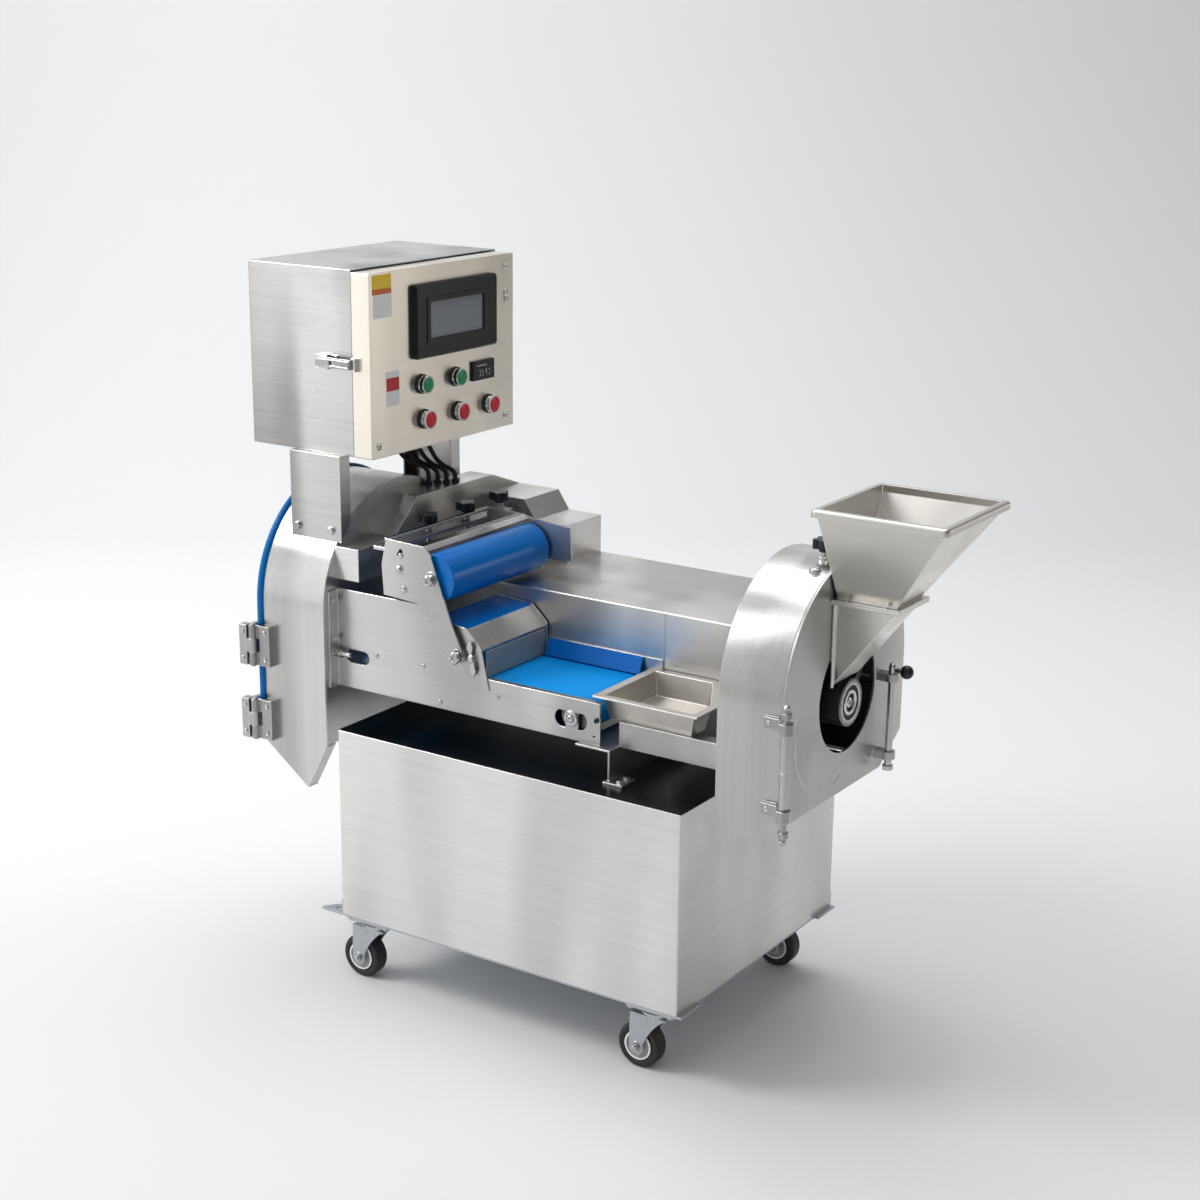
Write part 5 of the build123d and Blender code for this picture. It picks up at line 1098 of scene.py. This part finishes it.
@dataclass
class HopperUnit(SubAssembly):
    """Hopper on its chute, both carried by the root head door."""

    neck: tuple[float, float, float, float] = (498.0, 597.0, 180.0, 262.0)
    flange: tuple[float, float, float, float] = (493.5, 606.0, 168.0, 272.0)
    rim: tuple[float, float, float, float] = (480.0, 700.0, 112.0, 342.0)
    neck_z: float = 785.0

    def dress(self) -> None:
        """Paints hopper and chute and adds flange screws and weld beads."""
        paint_all(HOPPER_STEEL, "hopper", "feed_chute")
        x0, x1, y0, y1 = self.neck
        welds = self.piece("hopper_weld_seams", WELD_STEEL, "bright_steel", "right_door")
        corners = [(x0, y0), (x1, y0), (x1, y1), (x0, y1)]
        for a, b in zip(corners, corners[1:] + corners[:1]):
            welds.weld((*a, self.neck_z), (*b, self.neck_z), 1.2)
        rx0, rx1, ry0, ry1 = self.rim
        for (nx, ny), (tx, ty) in zip(corners, [(rx0, ry0), (rx1, ry0), (rx1, ry1), (rx0, ry1)]):
            inward_x = 10 if tx == rx0 else -10
            inward_y = 10 if ty == ry0 else -10
            welds.weld((nx, ny, self.neck_z + 2), (tx + inward_x, ty + inward_y, 920), 0.8)
        welds.weld((self.neck[1] - 2, 179, 776), (497, 179, 650), 0.9)
        screws = self.piece("hopper_flange_screws", BRIGHT_STEEL, "bright_steel", "right_door")
        fx0, fx1, fy0, fy1 = self.flange
        for x in (fx0 + 24, fx1 - 24):
            for y in (fy0 + 5, fy1 - 5):
                screws.screw((x, y, self.neck_z), UP, 3.2, 2, Head.HEX)


@dataclass
class CatchPan(SubAssembly):
    """Catch pan at the conveyor's end."""

    def dress(self) -> None:
        """Paints the pan."""
        paint("catch_pan", PAN_STEEL)


@dataclass
class Drives(SubAssembly):
    """Drive cover, motors, pulleys and belts."""

    motor: Flat = (430.0, 560.0)
    fins: int = 20
    motors: tuple[tuple[float, int], ...] = ((-340.0, 1), (330.0, -1))
    rear: float = 526.0
    cover_screws: tuple[float, ...] = (-130.0, 40.0, 210.0, 360.0)
    cover_rows: Flat = (640.0, 480.0)

    def dress(self) -> None:
        """Paints the drives and adds motor fins and cover screws."""
        paint("drive_cover", COVER_STEEL)
        paint("drive_motors", MOTOR_PAINT)
        paint_all(CAST_STEEL, "blade_motor_pulley", "slicer_motor_pulley", "spindle_bearings")
        paint("drive_belts", RUBBER)
        self._fins()
        screws = self.piece("drive_cover_screws", BRIGHT_STEEL, "bright_steel")
        for x in self.cover_screws:
            for z in self.cover_rows:
                screws.screw((x, self.rear, z), BACK, 4.5, 2.4, Head.CROSS)

    def _fins(self) -> None:
        """Adds cooling fins along both motors and a terminal box on each."""
        y, z = self.motor
        fins = self.piece("motor_fins", MOTOR_PAINT, "motor_paint")
        for face, way in self.motors:
            start, end = sorted((face + way * 30, face + way * 135))
            for k in range(self.fins):
                angle = math.radians(-50 + k * 280 / (self.fins - 1))
                shape = [(59, -1), (65, -0.7), (65, 0.7), (59, 1)]
                cos, sin = math.cos(angle), math.sin(angle)
                turned = [(u * cos - v * sin, u * sin + v * cos) for u, v in shape]
                fins.prism((start, y, z), RIGHT, turned, end - start)
            low, high = sorted((face + way * 50, face + way * 105))
            fins.box((low, y - 24, z + 56), (high, y + 24, z + 84))


@dataclass
class FeedHood(SubAssembly):
    """Bent hood over the feed mouth with the control cables on top."""

    top: float = 820.0

    def dress(self) -> None:
        """Paints the hood and cables and adds the cable glands and a seam."""
        paint("feed_hood", COVER_STEEL)
        paint("control_cables", RUBBER)
        gland = self.piece("hood_cable_glands", RUBBER, "black_rubber")
        for step in range(4):
            foot = (-384 + 9 * step, 312 + 14 * step, self.top)
            gland.ring(foot, UP, 4.05, 7.0, 5, 24)
        seam = self.piece("hood_seam", WELD_STEEL, "cabinet_steel")
        seam.weld((-391, 192, 790.6), (-341, 192, 790.6), 0.5)


@dataclass
class ControlStation(SubAssembly):
    """Control box on its posts, with the door, latch, panel, buttons and inner fittings."""

    face: float = -320.0
    back: float = -358.0
    box_front: float = -362.0
    buttons: dict[str, Flat] = field(
        default_factory=lambda: {
            "start_left": (214.0, 1020.0),
            "start_right": (308.0, 1020.0),
            "stop_left": (220.0, 959.0),
            "stop_right": (314.0, 959.0),
            "stop_belt": (403.0, 959.0),
        }
    )
    start_lens: float = 12.6
    stop_lens: float = 14.0
    cap_height: float = 13.1
    corner_screws: tuple[Flat, ...] = ((456.0, 1196.0), (455.0, 930.0), (99.0, 930.0))
    panel: tuple[float, float, float, float] = (189.0, 418.0, 1064.0, 1189.0)
    screen: tuple[float, float, float, float] = (227.0, 377.0, 1096.0, 1158.0)
    meter: tuple[float, float, float, float] = (354.0, 415.0, 1005.0, 1039.0)
    modules: tuple[float, ...] = (150.0, 205.0, 260.0, 330.0, 385.0)
    module_front: float = -502.0
    duct_ribs: int = 30
    rib_gap: float = 10.4

    def dress(self) -> None:
        """Paints the station and adds everything small on and in it."""
        paint("control_posts", BOX_STEEL)
        paint("control_box", BOX_STEEL, (MODULE_GREY, self._in_modules))
        # The door gets a brighter, warmer steel than the box as painted light.
        paint("control_door", DOOR_FACE_PAINTED_LIGHT, (CHROME, self._in_bezel))
        paint("draw_latch", CAST_STEEL)
        paint(
            "touch_panel",
            PANEL_BLACK,
            (SCREEN, lambda c, n: c.z > 1060 and abs(n.x) > 0.9 and abs(c.x - self.face - 9) < 0.5),
        )
        for name in self.buttons:
            cap = GREEN if name.startswith("start") else RED
            paint(f"button_{name}", cap, (MODULE_DARK, lambda c, n: c.x < self.face - 0.5))
        self._door_face()
        self._labels()
        self._panel()
        self._gasket()
        self._latch()
        self._inside()

    def _in_modules(self, centre: Vector, normal: Vector) -> bool:
        """Tells whether a face of the box belongs to the modules on the mounting plate."""
        return -562.5 < centre.x < -501.5 and 149 < centre.y < 431 and 1014 < centre.z < 1101

    def _in_bezel(self, centre: Vector, normal: Vector) -> bool:
        """Tells whether a door face belongs to a button's ring.

        Args:
            centre: Middle of the face in millimetres.
            normal: Its normal, which isn't needed.

        Returns:
            True for a face of a ring.
        """
        return centre.x > self.face + 0.3 and any(
            math.hypot(centre.y - y, centre.z - z) < 16 for y, z in self.buttons.values()
        )

    def _door_face(self) -> None:
        """Adds corner screws and key lock, and the collars, rims, lenses and hoops of the buttons."""
        screws = self.piece("control_door_screws", BRIGHT_STEEL, "bright_steel", "control_door")
        for y, z in self.corner_screws:
            screws.ring((self.face, y, z), RIGHT, 3, 6.2, 0.8, 28)
            screws.screw((self.face + 0.8, y, z), RIGHT, 4.6, 2.2, Head.CROSS)
        for z, size in ((1150, 6.0), (1137, 5.0)):
            screws.screw((self.face, 456, z), RIGHT, size, 2.6, Head.SLOT)
        screws.prism((self.face, 456, 1143.5), RIGHT, [(-4.5, -7), (4.5, -7), (4.5, 7), (-4.5, 7)], 1.2)
        collars = self.piece("button_collars", KNOB_BLACK, "black_plastic", "control_door")
        for y, z in self.buttons.values():
            collars.ring((self.face, y, z), RIGHT, 15.1, 17.0, 3.4, 44)
        rims = {
            "start": self.piece("green_button_rims", KNOB_BLACK, "black_plastic", "control_door"),
            "stop": self.piece("red_button_rims", CHROME, "bright_steel", "control_door"),
        }
        for name, (y, z) in self.buttons.items():
            rims[name.split("_")[0]].ring((self.face + 7, y, z), RIGHT, 11.6, 14.2, 2.6, 44)
            body = f"button_{name}"
            if name.startswith("start"):
                size, cap, slot, metal = self.start_lens, GREEN, "green_cap", BRIGHT_STEEL
            else:
                size, cap, slot, metal = self.stop_lens, RED, "red_cap", WHITE
            dome = [(size, 0), (size, 2.2), (size - 0.8, 3.4), (size * 0.6, 4.2), (2, 4.4)]
            foot = (self.face + self.cap_height, y, z)
            self.piece(f"lens_{name}", cap, slot, body).lathe(foot, RIGHT, dome, 40)
            hoop = self.piece(f"hoop_{name}", metal, "bright_steel", body)
            hoop.ring(foot, RIGHT, size + 0.05, size + 2.8, 2.4, 44)

    def _labels(self) -> None:
        """Adds the blank coloured labels on the door."""
        parts = (
            ("label_yellow", YELLOW, (88, 137, 1191, 1214)),
            ("label_orange", ORANGE, (88, 137, 1182, 1191)),
            ("label_white_upper", WHITE, (90, 137, 1143, 1182)),
            ("label_white_lower_top", WHITE, (119, 154, 1041, 1052)),
            ("label_red", LABEL_RED, (121, 154, 1019, 1041)),
            ("label_white_lower", WHITE, (121, 154, 994, 1019)),
        )
        for name, finish, (y0, y1, z0, z1) in parts:
            label = self.piece(name, finish, "panel_plastic", "control_door")
            label.box((self.face, y0, z0), (self.face + 0.35, y1, z1))

    def _panel(self) -> None:
        """Adds the inner frame and the lower lip of the touch panel, and the meter's marks."""
        y0, y1, z0, z1 = self.screen
        edge = self.face + 11
        trim = self.piece("touch_panel_frame", PANEL_BLACK, "panel_plastic", "control_door")
        for low_y, high_y, low_z, high_z in (
            (y0 - 9, y1 + 9, z1, z1 + 8),
            (y0 - 9, y1 + 9, z0 - 8, z0),
            (y0 - 9, y0, z0, z1),
            (y1, y1 + 9, z0, z1),
        ):
            trim.box((edge, low_y, low_z), (edge + 1.2, high_y, high_z))
        py0, py1, pz0, _ = self.panel
        trim.box((edge, py0 + 6, pz0 + 14), (edge + 0.8, py1 - 6, pz0 + 16))
        my0, my1, mz0, mz1 = self.meter
        marks = self.piece("meter_marks", DIGIT, "panel_plastic", "control_door")
        for k in range(4):
            y = my0 + 16 + 9 * k
            for (y0, z0), (y1, z1) in METER_BARS:
                if (k + y0 + z0) % 3 != 2:
                    low = (self.face + 5, y + y0, mz0 + 7 + z0)
                    marks.box(low, (self.face + 5.25, y + y1, mz0 + 7 + z1))
        marks.box((self.face + 5, my0 + 10, mz1 - 9), (self.face + 5.25, my1 - 22, mz1 - 7.5))

    def _gasket(self) -> None:
        """Adds the black gasket between box and door."""
        gasket = self.piece("control_box_gasket", RUBBER, "black_rubber")
        x0, x1 = self.box_front - 6, self.back - 0.4
        for y0, y1 in ((87, 97), (465, 475)):
            gasket.box((x0, y0, 914), (x1, y1, 1214))
        for z0, z1 in ((914, 924), (1204, 1214)):
            gasket.box((x0, 97, z0), (x1, 465, z1))

    def _latch(self) -> None:
        """Adds the raised grip and the loop of the draw latch."""
        latch = self.piece("draw_latch_grip", CAST_STEEL, "bright_steel", "draw_latch")
        latch.box((-427, 66.5, 1061), (-398, 70, 1073))
        loop = [(-398, 68.5, 1062), (-372, 65.5, 1062), (-354, 65.5, 1062)]
        loop += [(-353, 65.5, 1072), (-372, 65.5, 1072), (-398, 68.5, 1072)]
        latch.tube(loop, 1.8, 10)

    def _inside(self) -> None:
        """Adds module fronts, cable duct and wires on the mounting plate."""
        fronts = self.piece("module_fronts", MODULE_DARK, "panel_plastic")
        screws = self.piece("module_screws", BRIGHT_STEEL, "bright_steel")
        for y in self.modules:
            fronts.box((self.module_front, y + 6, 1044), (self.module_front + 8, y + 39, 1072))
            for dy in (10, 22, 34):
                for z in (1024, 1091):
                    screws.screw((self.module_front, y + dy, z), RIGHT, 3.2, 1.2, Head.CROSS)
        duct = self.piece("cable_duct", MODULE_GREY, "panel_plastic")
        duct.box((-570, 125, 955), (-530, 440, 985))
        for k in range(self.duct_ribs):
            duct.box((-530, 128 + self.rib_gap * k, 958), (-528.5, 133 + self.rib_gap * k, 982))
        colours = {"brown": WIRE_BROWN, "blue": WIRE_BLUE, "green": WIRE_GREEN}
        for offset, (name, finish) in enumerate(colours.items()):
            wires = self.piece(f"control_wires_{name}", finish, "black_rubber")
            for y in self.modules:
                start = y + 10 + 12 * offset
                wires.tube([(x, start + dy, z) for x, dy, z in WIRE_RUN], 1.5, 8)


# Studio, lights and camera.


@dataclass
class Softbox:
    """Rectangular light that faces the machine."""

    name: str
    place: Point
    aim: Point
    size: Flat
    power: float
    tint: Point = (1.0, 1.0, 1.0)

    def build(self) -> bpy.types.Object:
        """Makes the light and turns it to its aim.

        Returns:
            The lamp.
        """
        data = bpy.data.lights.new(self.name, "AREA")
        data.shape = "RECTANGLE"
        data.size, data.size_y = self.size
        data.energy = self.power
        data.color = self.tint
        lamp = bpy.data.objects.new(self.name, data)
        lamp.location = self.place
        way = Vector(self.aim) - Vector(self.place)
        lamp.rotation_euler = way.to_track_quat("-Z", "Y").to_euler()
        bpy.context.scene.collection.objects.link(lamp)
        return lamp


@dataclass
class Studio:
    """Curved backdrop, soft lights, world and camera."""

    floor_edge: float = -7.0
    floor_end: float = 3.2
    bend: float = 1.6
    wall_top: float = 6.0
    half_width: float = 8.0
    floor_shade: float = 0.78
    bright_sky: float = 0.80
    dark_sky: float = 0.05
    sky_way: Point = (-0.72, -0.28, 0.64)
    sky_fade: Flat = (-0.55, 0.75)
    lens_mm: float = 62.4
    eye: Point = (1.8014, -2.7949, 1.6307)
    yaw: float = 33.4
    pitch: float = 15.8
    roll: float = 0.64

    def build(self) -> None:
        """Makes the whole studio."""
        self._backdrop()
        self._world()
        lights = [
            Softbox("Key softbox", (-3.2, -2.0, 3.8), (0.0, 0.0, 0.5), (1.7, 1.7), 112.0),
            Softbox("Top softbox", (-0.4, 0.8, 3.8), (0.0, 0.0, 0.5), (2.6, 2.0), 46.0),
            Softbox("Front strip", (-2.6, -2.6, 1.2), (-0.3, 0.0, 0.8), (0.16, 2.0), 3.6),
            Softbox("Door fill", (2.3, 2.5, 1.0), (-0.35, 0.0, 1.05), (0.9, 0.9), 5.0, (1.0, 0.94, 0.86)),
            Softbox("Backdrop wash", (-2.4, 0.5, 3.3), (-3.4, 3.6, 1.7), (1.8, 0.8), 46.0),
        ]
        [light.build() for light in lights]
        self._camera()

    def _backdrop(self) -> None:
        """Makes a floor that curves up into a far wall."""
        mesh = bmesh.new()
        profile = [(self.floor_edge, 0.0), (self.floor_end, 0.0)]
        for angle in map(math.radians, range(6, 91, 6)):
            ahead, above = math.sin(angle), 1.0 - math.cos(angle)
            profile.append((self.floor_end + self.bend * ahead, self.bend * above))
        profile.append((self.floor_end + self.bend, self.wall_top))
        turn = Matrix.Rotation(math.radians(self.yaw), 3, "Z")
        left, right = (
            [mesh.verts.new(turn @ Vector((x, y, z))) for y, z in profile]
            for x in (-self.half_width, self.half_width)
        )
        for i in range(len(profile) - 1):
            mesh.faces.new((left[i], right[i], right[i + 1], left[i + 1]))
        data = bpy.data.meshes.new("Backdrop")
        mesh.to_mesh(data)
        mesh.free()
        for polygon in data.polygons:
            polygon.use_smooth = True
        backdrop = bpy.data.objects.new("Backdrop", data)
        bpy.context.scene.collection.objects.link(backdrop)
        shade = self.floor_shade
        material = bpy.data.materials.new("Backdrop paper")
        material.use_nodes = True
        shader = material.node_tree.nodes["Principled BSDF"]
        shader.inputs["Base Color"].default_value = (shade * 0.985, shade * 0.995, shade, 1.0)
        shader.inputs["Roughness"].default_value = 0.7
        shader.inputs["Specular IOR Level"].default_value = 0.2
        data.materials.append(material)

    def _world(self) -> None:
        """Fills the room with light that is strong on the left and above and weak on the right."""
        world = bpy.data.worlds.new("Studio")
        world.use_nodes = True
        tree = world.node_tree
        back = tree.nodes["Background"]
        feeds = {0: node(tree, "TexCoord").outputs["Generated"], 1: Vector(self.sky_way).normalized()}
        toward = node(tree, "VectorMath", feeds, operation="DOT_PRODUCT").outputs["Value"]
        strength = remap(tree, toward, self.sky_fade, (self.dark_sky, self.bright_sky), smooth=True)
        back.inputs["Color"].default_value = (0.97, 0.985, 1.0, 1.0)
        tree.links.new(strength, back.inputs["Strength"])
        bpy.context.scene.world = world

    def _camera(self) -> None:
        """Places the camera as it stood for the photograph."""
        data = bpy.data.cameras.new("Camera")
        data.lens = self.lens_mm
        data.sensor_width = 36.0
        data.clip_end = 60.0
        camera = bpy.data.objects.new("Camera", data)
        turns = ((self.yaw, "Z"), (90.0 - self.pitch, "X"), (self.roll, "Z"))
        yaw, tilt, roll = (Matrix.Rotation(math.radians(angle), 4, axis) for angle, axis in turns)
        camera.matrix_world = Matrix.Translation(Vector(self.eye)) @ yaw @ tilt @ roll
        scene = bpy.context.scene
        scene.collection.objects.link(camera)
        scene.camera = camera
        scene.view_settings.view_transform = "Standard"
        scene.view_settings.look = "None"


def main() -> None:
    """Dresses the machine and lights it."""
    logging.basicConfig(level=logging.INFO, format="%(name)s: %(message)s")
    for assembly in (
        BaseCabinet(),
        Casters(),
        LeafyHead(),
        Conveyor(),
        PressUnit(),
        RootHead(),
        HopperUnit(),
        CatchPan(),
        Drives(),
        FeedHood(),
        ControlStation(),
    ):
        assembly.build()
    Studio().build()


if __name__ == "__main__":
    main()
